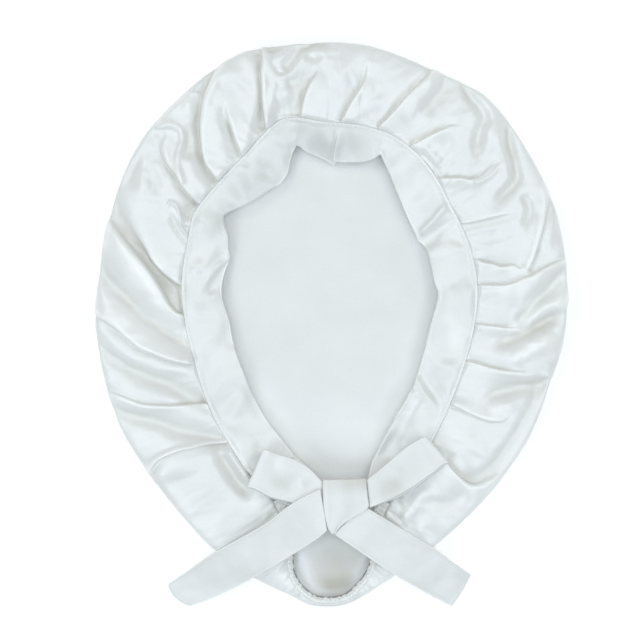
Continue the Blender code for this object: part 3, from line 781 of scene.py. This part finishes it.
def ring_faces(first, second):
    """Faces between two closed rings of vertices, where the second may have half as many."""
    faces = []
    for i in range(len(second)):
        j = (i + 1) % len(second)
        if len(first) == len(second):
            faces.append((first[i], first[j], second[j], second[i]))
        else:
            a, b, c = first[2 * i], first[2 * i + 1], first[(2 * i + 2) % len(first)]
            faces.extend([(a, b, second[i]), (b, c, second[j], second[i])])
    return faces


def tube_faces(run, across, whole, start=0):
    """The vertex numbers of a tube of closed rings, its quads and their UV pairs. The run has each
    ring's distance along the tube, across each vertex's distance round its ring, and whole the length
    of each ring."""
    number = start + np.arange(across.size).reshape(across.shape)
    following = np.roll(number, -1, axis=1)
    along = np.broadcast_to(run[:, None], across.shape)
    here = np.stack([along, across], axis=2)
    onward = np.stack([along, np.column_stack([across[:, 1:], whole])], axis=2)
    faces = np.stack([number[:-1], following[:-1], following[1:], number[1:]], axis=2)
    corners = np.stack([here[:-1], onward[:-1], onward[1:], here[1:]], axis=2)
    return number, faces.reshape(-1, 4).tolist(), corners.reshape(-1, 2).tolist()


def waves(plan, *layers):
    """Noise at points in plan, from the height, the two periods and the seed of each layer."""
    return np.array([
        sum(height * noise.noise(Vector((x / wide, y / tall, seed))) for height, wide, tall, seed in layers)
        for x, y in plan.tolist()
    ])


def round_noise(distance, whole, period, radial):
    """Smooth noise round the crown, -1 to 1, that joins up where the distance starts again."""
    angle = 2 * np.pi * distance / whole
    radius = whole / (2 * np.pi * period)
    places = np.stack([radius * np.cos(angle), radius * np.sin(angle), radial], axis=-1)
    return np.array([noise.noise(Vector(place)) for place in places.tolist()])


def crease_noise(distance, whole, period, radial):
    """Long sharp crests with broad hollows between them, about -1 to 1."""
    return 1 - 4 * np.sqrt(round_noise(distance, whole, period, radial) ** 2 + 0.002)


def crown_top(shares, at):
    """Points of the crown's top, with its folds, their painted shade and painted highlights, and what
    stands at the outline.
    """
    flat_at = at.ravel()
    share = np.repeat(shares, COLUMNS)
    seam, seam_z, outline = section_points(flat_at)
    reach = outline - seam
    width = np.linalg.norm(reach, axis=1)
    outward = reach / width[:, None]
    crest = seam_z + np.maximum(PUFF * (1 - np.exp(-width / FULL_WIDTH)), LIP_RISE)
    fold_z = FOLD_LEVEL * crest
    plan = seam + share[:, None] * reach
    from_seam = share * width
    z = fold_z + (crest - fold_z) * np.sqrt(np.maximum(1 - share**ROUNDNESS, 0))
    roll = np.minimum(EDGE_ROLL, width / 3)
    lip = np.minimum(LIP_RISE, crest - seam_z)
    z -= (lip - SEAM_STEP) * np.exp(-((from_seam / 0.5) ** 1.5))
    z -= (crest - seam_z - lip) * np.exp(-((from_seam / roll) ** 1.5))

    tucks, lean, painted_shading = tuck_height(plan, TUCKS, share)
    folds = fold_height(plan, SOFT_FOLDS, share, FOLD_SPREAD)
    fine, run = along_seam()
    distance, whole = np.interp(flat_at, fine, run), run[-1]
    room = ease((from_seam + 0.6) / 3) * (1 - np.exp(-width / 10))
    drift = 9 * round_noise(distance, whole, 60, from_seam / 35 + 3)
    creases = 0.55 * round_noise(distance + drift, whole, 9, from_seam / 40)
    for rise, period, length, seed, way in CREASES:
        creases += rise * crease_noise(distance + way * drift, whole, period, from_seam / length + seed)
    small = 0.1 + 0.12 * ease((plan[:, 1] - 80) / 40)
    creases += small * crease_noise(distance + 0.5 * drift, whole, 4.5, from_seam / 11 + 29)
    height = room * (FOLD_GAIN * (tucks + folds) + creases)
    for period, start in PUCKERS:
        pucker = np.sin(2 * np.pi * distance / period + start)
        height += PUCKER_HEIGHT * pucker * np.exp(-from_seam / 6) * ease(from_seam / 1.5)
    crinkle = 0.5 * crease_noise(distance, whole, 4.2, from_seam / 15)
    crinkle += 0.5 * round_noise(distance, whole, 1.7, from_seam / 12)
    crinkle *= ease((flat_at - HEM_SECTIONS[0] + 1) / 1.5) * ease((24.5 - flat_at) / 1.5)
    crinkle *= NAPE_CRINKLE * np.exp(-from_seam / 20) * ease(from_seam / 1.5 + 0.2)
    crinkle *= ease((width - from_seam) / 3)
    height += crinkle

    # Painted shade in the hollows and painted highlights on the ridges, the lines of painted shade and
    # light, and painted light on the crinkles' crests with painted shade in their hollows.
    painted_shading += HOLLOW_PAINTED_SHADE * ease((-height - 0.3) / 4.5) - RIDGE_PAINTED_HIGHLIGHT * ease((height - 0.4) / 4)
    painted_shading += fold_height(plan, CROWN_PAINTED_SHADES) - 0.5 * crinkle
    tilt = share**20
    plan = plan + outward * (tilt * OUTLINE_GIVE * height)[:, None] + lean * (room * (1 - tilt))[:, None]
    points = np.column_stack([plan, z + (1 - tilt) * height]).reshape(len(shares), COLUMNS, 3)
    last = slice(-COLUMNS, None)
    edge = {
        "outward": outward[last],
        "fold_z": fold_z[last],
        "turn": TURN_LEVEL * crest[last] + FLAT_MARGIN,
        "painted_shade": np.maximum(painted_shading, LIGHTEST).reshape(len(shares), COLUMNS),
        "plan": outline[last] + outward[last] * (OUTLINE_GIVE * height[last])[:, None],
        "outline": outline[last],
    }
    return points, edge


def add_crown(material):
    """The bag as one closed sheet: its lap under the band, its top, the turn of the outline and its
    flat back."""
    even = np.arange(TOP_RINGS + 1) / TOP_RINGS
    shares = even - 0.11 * np.sin(2 * np.pi * even) / (2 * np.pi) + 0.09 * even * (1 - even)
    at = column_places(shares)
    top, edge = crown_top(shares, at)
    seam, seam_z, _ = section_points(at[0])
    into = inward(at[0])
    # Each ring carries its painted shade and painted light: none on the lap, the top's own, fading to none
    # over the turn, then the back's.
    rings, uv, painted_shade = [], [], []
    for lap, drop in ((LAP, LAP_DROP), (LAP / 2, LAP_DROP / 2), (-0.05, -0.1)):
        rings.append(np.column_stack([seam + lap * into, seam_z - drop]))
        uv.append(seam + max(lap, 0) * into)
        painted_shade.append(np.zeros(COLUMNS))
    for ring, painted_shading in zip(top[:-1], edge["painted_shade"]):
        rings.append(ring)
        uv.append(ring[:, 0:2])
        painted_shade.append(painted_shading)
    for degrees, fade in zip(TURN_DEGREES, np.linspace(1, 0, len(TURN_DEGREES))):
        angle = math.radians(degrees)
        plan = edge["outline"] + (edge["plan"] - edge["outline"]) * math.cos(angle) ** 2
        plan = plan - edge["outward"] * (edge["turn"] * (1 - math.cos(angle)))[:, None]
        z = BACK_LIFT + (edge["fold_z"] - BACK_LIFT) * (1 - math.sin(angle))
        rings.append(np.column_stack([plan, z]))
        uv.append(edge["plan"] + edge["outward"] * (edge["fold_z"] * angle)[:, None])
        painted_shade.append(edge["painted_shade"][-1] * fade)
    upper = len(rings)

    centre = np.array(BACK_CENTRE)
    flat_ring = rings[-1]
    keep = 1
    for i in range(1, BACK_RINGS + 1):
        share = 1 - i / (BACK_RINGS + 1)
        if i in HALVING_RINGS:
            keep *= 2
        plan = centre + (flat_ring[::keep, 0:2] - centre) * share
        rings.append(np.column_stack([plan, BACK_LIFT + back_height(plan, 1 - share)]))
    rings.append(np.column_stack([centre[None], BACK_LIFT + back_height(centre[None], 1.0)]))
    painted_shade.append(lining_painted_shading(np.vstack(rings[upper:])[:, 0:2]))

    points = np.vstack(rings)
    starts = np.cumsum([0] + [len(ring) for ring in rings])
    numbers = [list(range(start, start + len(ring))) for start, ring in zip(starts.tolist(), rings)]
    upper_uv, plan_uv = np.vstack(uv), points[:, 0:2]
    faces, corners = [], []
    for i in range(len(numbers) - 2):
        found = ring_faces(numbers[i], numbers[i + 1])
        faces.extend(found)
        source = upper_uv if i < upper - 1 else plan_uv
        corners.extend(source[vertex] for face in found for vertex in face)
    inner, pole = numbers[-2], numbers[-1][0]
    for first, second in zip(inner, inner[1:] + inner[:1]):
        faces.append((first, second, pole))
        corners.extend(plan_uv[[first, second, pole]])
    return new_mesh("satin_crown_bag", points, faces, corners, material, np.concatenate(painted_shade))


def lining_painted_shading(plan):
    """Painted shade and painted light of the back: painted shade over it, painted light where the edges of
    the opening stand over it and cast their shadow, and painted shadow in the nape.
    """
    edge = np.array(BAND_EDGE, float)
    hem_at = np.arange(*HEM_SECTIONS)
    hem = section_points(hem_at)[0] + HEM_WIDTH * inward(hem_at)
    rim = np.vstack([smooth(edge, even_rows(edge, 400)), hem])
    away = np.linalg.norm(plan[:, None] - rim[None], axis=2).min(axis=1)
    reach = np.interp(plan[:, 1], *RIM_REACH)
    light = np.interp(plan[:, 1], *LINING_PAINTED_LIGHT) * np.exp(-((away / reach) ** 1.5))
    light += RIM_PAINTED_LIGHT * bell(away, RIM_WIDTH)
    light += LOWER_PAINTED_LIGHT * ease((-20 - plan[:, 1]) / 60)
    return np.maximum(LINING_PAINTED_SHADE - light + fold_height(plan, LINING_PAINTED_SHADES), LIGHTEST)


def back_height(plan, depth):
    """Soft waves of the flat back, which lies on the surface."""
    lift = BACK_RISE + BACK_WAVES * waves(plan, (1, 62, 74, 3.0), (0.35, 27, 34, 7.0))
    return np.maximum(lift * ease(depth * 5) + fold_height(plan, LINING_FOLDS), 0)


def sheet_normals(grid):
    """Unit normals of a grid of points, on its upper side."""
    normal = np.cross(np.gradient(grid, axis=1), np.gradient(grid, axis=0))
    normal /= np.maximum(np.linalg.norm(normal, axis=2), 1e-9)[..., None]
    return -normal if normal[:, :, 2].mean() < 0 else normal


def across_places(width, middle):
    """Distances across a strip of this width, close together near its two edges."""
    edge = np.array(EDGE_STEPS)
    inner = np.linspace(edge[-1], width - edge[-1], middle + 2)[1:-1]
    return np.concatenate([edge, inner, width - edge[::-1]])


def round_edge(distance, radius):
    """Half-thickness share at a distance from a rounded edge."""
    part = np.clip(distance / radius, 0, 1)
    return np.sqrt(np.maximum(1 - (1 - part) ** 2, 0))


def add_casing(name, rows, steps, middle, wall, camber, relief, shading, material, bulge=(0, 0)):
    """A closed strip through cross lines: rows give the two ends of each line. relief and shading give
    what the upper face rises by and its painted shade and painted light, from the distances to the
    strip's two edges. The bulge is how far the strip's first and last ends are rounded out. The points
    of the upper face come too."""
    lines = smooth(rows, even_rows(rows, steps))
    width = np.linalg.norm(lines[:, 3:6] - lines[:, 0:3], axis=1)[:, None]
    first = np.array([across_places(one, middle) for one in width[:, 0]])
    share = (first / width)[..., None]
    grid = lines[:, None, 0:3] * (1 - share) + lines[:, None, 3:6] * share
    arch = 4 * share * (1 - share)
    grid[:, :, 2] += camber * arch[..., 0]
    # This is 0 up to the strip's last fifth and 1 at its end.
    near_end = ease(np.linspace(-4, 1, len(grid)))[:, None, None]
    for out, inner, outer, near in ((bulge[0], 8, 0, near_end[::-1]), (bulge[1], -9, -1, near_end)):
        onward = grid[outer].mean(axis=0) - grid[inner].mean(axis=0)
        grid = grid + out * near * arch * onward / np.linalg.norm(onward)
    normal = sheet_normals(grid)
    last = width - first
    rounding = round_edge(first, EDGE_RADIUS) * round_edge(last, EDGE_RADIUS)
    half = wall / 2 * rounding
    place = (grid[:, :, 0:2].reshape(-1, 2), first.ravel(), last.ravel(), grid)
    rise = relief(*place).reshape(half.shape) * rounding
    upper = grid + normal * (half + rise)[..., None]
    lower = grid - normal * half[..., None]

    count = upper.shape[1]
    ring = np.concatenate([upper, lower[:, -2:0:-1]], axis=1)
    run = lengths(grid[:, count // 2])
    across = np.concatenate([first, (2 * width - first)[:, -2:0:-1]], axis=1)
    number, faces, corners = tube_faces(run, across, 2 * width)
    # Painted shade and painted light, on the upper face only.
    painted_shade = np.zeros(across.shape)
    painted_shade[:, :count] = shading(*place).reshape(half.shape)
    size = across.shape[1]
    for i, order in ((0, -1), (len(ring) - 1, 1)):
        for k in range(count - 1):
            face = dict.fromkeys(number[i, [k, k + 1, size - k - 1, (size - k) % size]].tolist())
            faces.append(tuple(face)[::order])
            corners.extend([(run[i], across[i, k])] * len(face))
    return new_mesh(name, ring.reshape(-1, 3), faces, corners, material, painted_shade), upper


def band_edge():
    """The band's free edge: section, x, y and z. Each point takes its section and its height from the
    nearest place of the plain edge, found in order along it."""
    path = smooth(PLAIN_EDGE, np.linspace(0, len(PLAIN_EDGE) - 1, PLAIN_POINTS))
    rows, start = [], 0
    for x, y in BAND_EDGE:
        ahead = path[start:start + PLAIN_REACH]
        start += int(np.hypot(ahead[:, 1] - x, ahead[:, 2] - y).argmin())
        rows.append((path[start, 0], x, y, path[start, 3]))
    return np.array(rows)


def band_rows():
    """Cross lines of the band, from its left end round the forehead to its right end."""
    edge = band_edge()
    edge[:, 3] -= BAND_DROOP
    seam, seam_z, _ = section_points(edge[:, 0])
    rows = np.column_stack([seam, seam_z + GAP + BAND_WALL / 2, edge[:, 1:4]])
    return np.vstack([BAND_LEFT_END, rows, BAND_RIGHT_END])


def band_relief(plan, first, last, grid):
    """A stitched lip along the sewn edge, a puffed casing and its soft folds."""
    lip = -0.25 * bell(first - LIP, 0.5) - 0.2 * ease((LIP + 0.5 - first) / 0.5)
    rise = 0.5 * ease((first - LIP) / 5) * ease(last / 6) + 0.35 * bell(last - 1.6, 1.1)
    folds = 1.3 * fold_height(plan, BAND_FOLDS) + tuck_height(plan, BAND_TUCKS)[0]
    folds += waves(plan, (3, 21, 21, 1.5), (1.2, 10, 10, 4.5))
    return lip + soft_floor(rise + ease((first - 2) / 3) * folds, -1.7)


def band_painted_shading(plan, first, last, grid):
    """Painted highlight along both edges, painted shade in the groove beside the stitches and over the
    forehead, and the band's lines of painted shade and light.
    """
    edge_painted_highlight = 0.1 * bell(first - 0.8, 0.6) + 1.1 * bell(last - 0.6, 0.6)
    forehead_painted_shade = 0.5 * ease((plan[:, 1] - 50) / 25) * ease((30 - plan[:, 0]) / 25)
    groove_painted_shade = 0.3 * bell(first - LIP - 0.5, 0.6)
    return groove_painted_shade + forehead_painted_shade + tuck_height(plan, BAND_TUCKS)[2] + fold_height(plan, BAND_PAINTED_SHADES) - edge_painted_highlight


def hem_rows():
    """Cross lines of the elastic hem, from under the right loop round the nape to the left."""
    at = np.arange(*HEM_SECTIONS)
    seam, seam_z, _ = section_points(at)
    base = seam_z + GAP + HEM_WALL / 2
    flare = HEM_FLARE * (bell(at - HEM_SECTIONS[0], 1) + bell(at - HEM_SECTIONS[1], 1))
    width = HEM_WIDTH + flare + 0.4 * np.sin(5.1 * at) * np.sin(11 * at)
    return np.column_stack([seam, base, seam + width[:, None] * inward(at), base - HEM_SLOPE])


def hem_relief(plan, first, last, grid):
    """Fine gathers across the elastic."""
    run = np.repeat(lengths(grid[:, 0]), grid.shape[1])
    gathers = np.sin(2 * np.pi * run / 3.1 + 1.6 * np.sin(run / 5.1) + 0.5 * first)
    gathers += 0.7 * np.sin(2 * np.pi * run / 5.3 + 2 * np.sin(run / 8.3) - 0.4 * first)
    return 0.3 * gathers * np.minimum(HEM_WIDTH / (first + last), 1)


def hem_painted_light(plan, first, last, grid):
    """Painted light all over the hem, to lift its shadow, and most at its free edge."""
    return -0.8 - 0.1 * np.exp(-last)


def ribbon_relief(plan, first, last, grid):
    """Folded edges with a groove inside them, and faint waves."""
    edge = np.minimum(first, last)
    folds = waves(plan, (0.7, 19, 19, 9.5), (0.2, 7, 7, 2.5))
    folds += np.where(grid[:, :, 2].ravel() > LOOP_MIDDLE, fold_height(plan, RIBBON_FOLDS), 0)
    return 0.18 * bell(edge - 0.6, 0.4) + soft_floor(folds * ease(edge / 4), -0.9)


def ribbon_painted_shading(plan, first, last, grid):
    """Painted highlight along the folded edges, faint painted shade in a groove inside them, and spots of
    painted shade and light on the loops.
    """
    edge = np.minimum(first, last)
    painted_spots = np.where(grid[:, :, 2].ravel() > LOOP_MIDDLE, fold_height(plan, RIBBON_PAINTED_SHADES), 0)
    return 0.2 * bell(edge - 1.6, 0.6) - 0.6 * bell(edge - 0.5, 0.45) + painted_spots


def add_knot(material):
    """The knot: flat and square in cross-section, with rolled sides and faint pleats, and painted shade and
    painted highlights on its upper face.
    """
    turn = np.linspace(0, 2 * np.pi, 20 * KNOT_SIDES + 1)
    wide = np.sign(np.cos(turn)) * np.abs(np.cos(turn)) ** KNOT_SQUARENESS
    tall = np.sign(np.sin(turn)) * np.abs(np.sin(turn)) ** KNOT_SQUARENESS
    run = lengths(np.column_stack([wide, tall]))
    even = np.linspace(0, run[-1], KNOT_SIDES, endpoint=False)
    wide, tall = np.interp(even, run, wide), np.interp(even, run, tall)
    upper = ease((tall - 0.5) / 0.4)
    relief = 0.4 * bell(np.abs(wide) - 0.93, 0.05) - 0.4 * (1 - wide**4)
    relief += 0.15 * np.sin(6.5 * wide + 0.4) * (1 - wide**6)
    # Painted shade in faint bands over the pleats and painted highlights along the edges.
    painted_shading = 0.15 * np.sin(7 * wide + 1.2) + 0.3 * bell(wide - 0.3, 0.5)
    painted_shading -= bell(np.abs(wide) - 0.95, 0.03) + 0.8 * bell(wide + 0.84, 0.025)
    points, painted_shade = [], []
    for left_x, left_y, right_x, right_y, low, high in smooth(KNOT, even_rows(KNOT, KNOT_STEPS)):
        middle = np.array([left_x + right_x, left_y + right_y, low + high]) / 2
        half = np.array([right_x - left_x, right_y - left_y, 0]) / 2
        rise = np.array([0, 0, (high - low) / 2])
        line = middle + wide[:, None] * half + tall[:, None] * rise
        line[:, 2] += upper * relief
        points.append(line)
        # Painted shade over the knot's upper part, darkest at its top edge.
        top_painted_shade = 1.3 * ease((left_y + 118) / 14) * (1 + 0.4 * wide)
        painted_shade.append(upper * (painted_shading + top_painted_shade))
    around = np.broadcast_to(even, (len(points), KNOT_SIDES))
    number, faces, _ = tube_faces(np.arange(len(points)), around, np.full(len(points), run[-1]))
    faces = [[a, d, c, b] for a, b, c, d in faces]
    faces.extend([number[0].tolist(), number[-1, ::-1].tolist()])
    points = np.concatenate(points)
    corners = points[np.concatenate(faces)][:, [1, 0]]
    return new_mesh("satin_knot", points, faces, corners, material, np.array(painted_shade))


def tube_points(path, radius, sides):
    """Rings of points round a path."""
    ahead = np.gradient(path, axis=0)
    ahead /= np.linalg.norm(ahead, axis=1)[:, None]
    aside = np.cross(ahead, (0, 0, 1.0))
    aside /= np.maximum(np.linalg.norm(aside, axis=1), 1e-9)[:, None]
    up = np.cross(aside, ahead)
    turn = np.linspace(0, 2 * np.pi, sides, endpoint=False)
    around = np.cos(turn)[None, :, None] * aside[:, None] + np.sin(turn)[None, :, None] * up[:, None]
    return path[:, None] + radius[:, None, None] * around


def join_tubes(name, paths, radii, sides, material):
    """One mesh of many closed tubes."""
    points, faces, corners = [], [], []
    for path, radius in zip(paths, radii):
        run = lengths(path)
        around = np.broadcast_to(np.arange(sides), (len(path), sides))
        number, quads, uv = tube_faces(run, around, np.full(len(path), sides), len(points))
        points.extend(tube_points(path, radius, sides).reshape(-1, 3))
        faces.extend(quads + [number[0, ::-1].tolist(), number[-1].tolist()])
        corners.extend(uv + [(run[0], 0)] * sides + [(run[-1], 0)] * sides)
    return new_mesh(name, points, faces, corners, material)


def read_along(at, run, line):
    """Points of a line at these distances, where run has the distance of each of its points."""
    return np.stack([np.interp(at, run, line[:, k]) for k in range(3)], axis=-1)


def add_topstitch(upper, material):
    """A row of short stitches along the band's sewn edge."""
    line = upper[:, EDGE_STEPS.index(LIP)]
    run = lengths(line)
    pitch = STITCH + STITCH_GAP
    share = np.linspace(0, 1, 9)
    paths = []
    for i in range(int(run[-1] / pitch)):
        path = read_along(i * pitch + share * STITCH, run, line)
        path[:, 2] += STITCH_ARCH * np.sin(np.pi * share) + 0.02
        paths.append(path)
    radius = STITCH_RADIUS * np.sqrt(np.maximum(1 - (2 * share - 1) ** 6, 0.05))
    return join_tubes("topstitching", paths, [radius] * len(paths), 6, material)


def add_zigzag(upper, material):
    """Zigzag thread over the elastic."""
    column = EDGE_STEPS.index(ZIGZAG_MARGIN)
    low, high = upper[:, column], upper[:, -1 - column]
    width = np.linalg.norm(low - high, axis=1)[:, None]
    low = high + (low - high) * np.minimum(ZIGZAG_WIDTH / width, 1)
    run = lengths(low)
    path = []
    for i in range(int(run[-1] / ZIGZAG_PITCH)):
        here = i * ZIGZAG_PITCH + ZIGZAG_DRIFT * noise.noise(Vector((i / 1.7, 0, 6)))
        path.append(read_along(here, run, low if i % 2 else high))
    path = np.array(path)
    path = read_along(np.linspace(0, len(path) - 1, 6 * len(path)), np.arange(len(path)), path)
    path[:, 2] += ZIGZAG_LIFT
    return join_tubes("zigzag_thread", [path], [np.full(len(path), ZIGZAG_RADIUS)], 7, material)


def node(tree, kind, *values, **settings):
    """A node with its options, whose names are in small letters, and its inputs, in order or by name. A
    socket is linked to its input."""
    made = tree.nodes.new("ShaderNode" + kind)
    inputs = list(enumerate(values))
    for name, value in settings.items():
        if name.islower():
            setattr(made, name, value)
        else:
            inputs.append((name.replace("_", " "), value))
    for key, value in inputs:
        if isinstance(value, bpy.types.NodeSocket):
            tree.links.new(value, made.inputs[key])
        elif value is not None:
            made.inputs[key].default_value = value
    return made


def new_material(name, constants):
    """A material, its node tree and its shader with these constants."""
    material = bpy.data.materials.new(name)
    material.use_nodes = True
    shader = material.node_tree.nodes["Principled BSDF"]
    for socket, value in constants.items():
        shader.inputs[socket].default_value = value
    return material, material.node_tree, shader


def texture(tree, kind, along, across, **settings):
    """A texture on the cloth whose features are about this many mm long and wide."""
    cloth = node(tree, "UVMap", uv_map="cloth").outputs["UV"]
    place = node(tree, "Mapping", Vector=cloth, Scale=(1 / (along * MM), 1 / (across * MM), 1))
    return node(tree, kind, Vector=place.outputs["Vector"], Scale=1.0, **settings).outputs["Fac"]


def mixed(tree, factor, first, second):
    """A colour between two colours."""
    made = node(tree, "Mix", factor, data_type="RGBA")
    made.inputs[6].default_value = (*first, 1)
    made.inputs[7].default_value = (*second, 1)
    return made.outputs[2]


def satin(name, colour, anisotropy, shine, painted_shade_tint=PAINTED_SHADE_TINT):
    """White satin: a fine weave along the threads, faint streaks and small creases, and the painted shade
    and painted light that each point of the mesh carries.
    """
    material, tree, shader = new_material(name, {
        "Metallic": 0, "IOR": 1.9, "Specular IOR Level": shine, "Anisotropic": anisotropy,
        "Anisotropic Rotation": 0.25, "Sheen Weight": 0.15, "Sheen Roughness": 0.4,
    })
    link = tree.links.new
    tangent = node(tree, "Tangent", direction_type="UV_MAP", uv_map="cloth")
    link(tangent.outputs["Tangent"], shader.inputs["Tangent"])
    streaks = texture(tree, "TexNoise", 24, 1.6, Detail=3.0)
    clouds = texture(tree, "TexNoise", 38, 30, Detail=2.0)
    creases = texture(tree, "TexNoise", 13, 9, Detail=3.0, Distortion=0.8)
    weave = texture(tree, "TexWave", 2.2, 2.2, wave_type="BANDS", bands_direction="DIAGONAL")
    grain = texture(tree, "TexNoise", 1.3, 1.0, Detail=2.0, Roughness=0.7)

    mottle = node(tree, "Math", grain, clouds, operation="ADD").outputs[0]
    mottle = node(tree, "MapRange", Value=mottle, From_Min=0.6, From_Max=1.4).outputs["Result"]
    dark, light = (0.94 * c for c in colour), (min(1.06 * c, 1) for c in colour)
    tint = mixed(tree, mottle, dark, light)
    # Painted shade and painted light from the mesh, in the base colour.
    painted_shade = node(tree, "Attribute", attribute_name="painted_shade").outputs["Fac"]
    part = (1, 1, 1)
    for limit, change in (("MAXIMUM", painted_shade_tint), ("MINIMUM", [-one for one in PAINTED_LIGHT_TINT])):
        limited = node(tree, "Math", painted_shade, 0.0, operation=limit).outputs[0]
        changed = node(tree, "VectorMath", change, Scale=limited, operation="SCALE").outputs[0]
        part = node(tree, "VectorMath", changed, part, operation="ADD").outputs[0]
    link(node(tree, "VectorMath", tint, part, operation="MULTIPLY").outputs[0], shader.inputs["Base Color"])

    rough = node(
        tree, "MapRange", Value=streaks, From_Min=0.3, From_Max=0.7, To_Min=SATIN_ROUGHNESS - 0.02,
        To_Max=SATIN_ROUGHNESS + 0.025,
    )
    link(rough.outputs["Result"], shader.inputs["Roughness"])
    bump = None
    for source, height, strength in ((creases, 0.5, 0.35), (grain, 0.08, 0.5), (weave, 0.02, 0.25)):
        bump = node(tree, "Bump", Strength=strength, Distance=height * MM, Height=source, Normal=bump)
        bump = bump.outputs["Normal"]
    link(bump, shader.inputs["Normal"])
    return material


def thread(name, colour):
    """White sewing thread with a twist."""
    material, tree, shader = new_material(name, {"Roughness": 0.5, "Sheen Weight": 0.2})
    twist = texture(tree, "TexWave", 6, 30, wave_type="BANDS", bands_direction="DIAGONAL")
    tint = mixed(tree, twist, (0.9 * c for c in colour), colour)
    tree.links.new(tint, shader.inputs["Base Color"])
    bump = node(tree, "Bump", Strength=0.5, Distance=0.05 * MM, Height=twist)
    tree.links.new(bump.outputs["Normal"], shader.inputs["Normal"])
    return material


def add_floor():
    """The pale floor that the bonnet lies on."""
    half = FLOOR_HALF
    corners = [(-half, -half, 0), (half, -half, 0), (half, half, 0), (-half, half, 0)]
    mesh = bpy.data.meshes.new("floor")
    mesh.from_pydata(corners, [], [(0, 1, 2, 3)])
    mesh.materials.append(new_material("pale_floor", {
        "Base Color": (0.93, 0.93, 0.93, 1), "Roughness": 0.9, "Specular IOR Level": 0.1,
        "Emission Color": (1, 1, 1, 1), "Emission Strength": 0.25,
    })[0])
    floor = bpy.data.objects.new("floor", mesh)
    bpy.context.scene.collection.objects.link(floor)


def add_light(name, place, size, watts, colour):
    """A soft square light that faces the bonnet."""
    lamp = bpy.data.lights.new(name, "AREA")
    lamp.shape = "RECTANGLE"
    lamp.size, lamp.size_y = size
    lamp.energy = watts
    lamp.color = colour
    light = bpy.data.objects.new(name, lamp)
    light.location = place
    light.rotation_euler = (-Vector(place)).to_track_quat("-Z", "Y").to_euler()
    bpy.context.scene.collection.objects.link(light)


def add_camera():
    """A camera straight above, at the photograph's viewing angle."""
    lens = bpy.data.cameras.new("camera")
    lens.lens = LENS
    lens.sensor_width = SENSOR
    lens.clip_end = 20
    camera = bpy.data.objects.new("camera", lens)
    distance = VIEW_WIDTH * LENS / SENSOR
    camera.location = Vector((*VIEW_CENTRE, VIEW_LEVEL + distance)) * MM
    bpy.context.scene.collection.objects.link(camera)
    bpy.context.scene.camera = camera


def light_scene():
    """A pale studio with a ring of softboxes, cool from below and warm from above."""
    scene = bpy.context.scene
    scene.view_settings.view_transform = "Standard"
    scene.view_settings.look = "None"
    scene.world = bpy.data.worlds.new("studio")
    scene.world.use_nodes = True
    background = scene.world.node_tree.nodes["Background"]
    background.inputs["Color"].default_value = (0.98, 0.985, 0.96, 1)
    background.inputs["Strength"].default_value = 0.36
    for light in LIGHTS:
        add_light(*light)


def add_band(material):
    """The band round the face, and its upper face."""
    return add_casing(
        "satin_band", band_rows(), BAND_STEPS, MIDDLE_COLUMNS, BAND_WALL, BAND_CAMBER, band_relief,
        band_painted_shading, material,
    )


def add_hem(material):
    """The elastic hem of the nape, and its upper face."""
    return add_casing(
        "elastic_hem", hem_rows(), HEM_STEPS, 0, HEM_WALL, 0, hem_relief, hem_painted_light, material,
    )


def add_ribbon(name, rows, steps, bulge, material):
    """A loop or a tail of the bow."""
    ribbon, _ = add_casing(
        name, rows, steps, MIDDLE_COLUMNS, RIBBON_WALL, 0, ribbon_relief, ribbon_painted_shading, material, bulge
    )
    return ribbon


def main():
    """The whole scene, and the CAD part that each mesh hides."""
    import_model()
    add_camera()
    light_scene()
    add_floor()

    crown_satin = satin("crown_satin", (0.885, 0.885, 0.865), 0.3, 1.0)
    band_satin = satin("band_satin", (0.865, 0.865, 0.84), 0.7, 1.0, BAND_PAINTED_SHADE_TINT)
    bow_satin = satin("bow_satin", (0.845, 0.845, 0.82), 0.5, 1.0)
    hem_satin = satin("hem_satin", (0.86, 0.85, 0.82), 0.2, 0.8)
    white_thread = thread("white_thread", (0.95, 0.96, 0.96))

    crown = add_crown(crown_satin)
    band, band_top = add_band(band_satin)
    hem, hem_top = add_hem(hem_satin)
    pieces = [
        (crown, "crown", "satin_crown"),
        (band, "front_band", "satin_band"),
        (hem, "nape_hem", "satin_hem"),
    ]
    for name, node_name, rows, steps, bulge, length in RIBBONS:
        piece = add_ribbon(name, rows, steps, bulge, bow_satin)
        pieces.append((piece, node_name, "satin_bow"))
    pieces.append((add_knot(bow_satin), "bow_knot", "satin_bow"))
    for piece, node_name, slot in pieces:
        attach(piece, "root")
        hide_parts(node_name)
    stitching = (add_topstitch(band_top, white_thread), add_zigzag(hem_top, white_thread))
    for piece, slot in zip(stitching, ("satin_band", "satin_hem")):
        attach(piece, "root")


main()
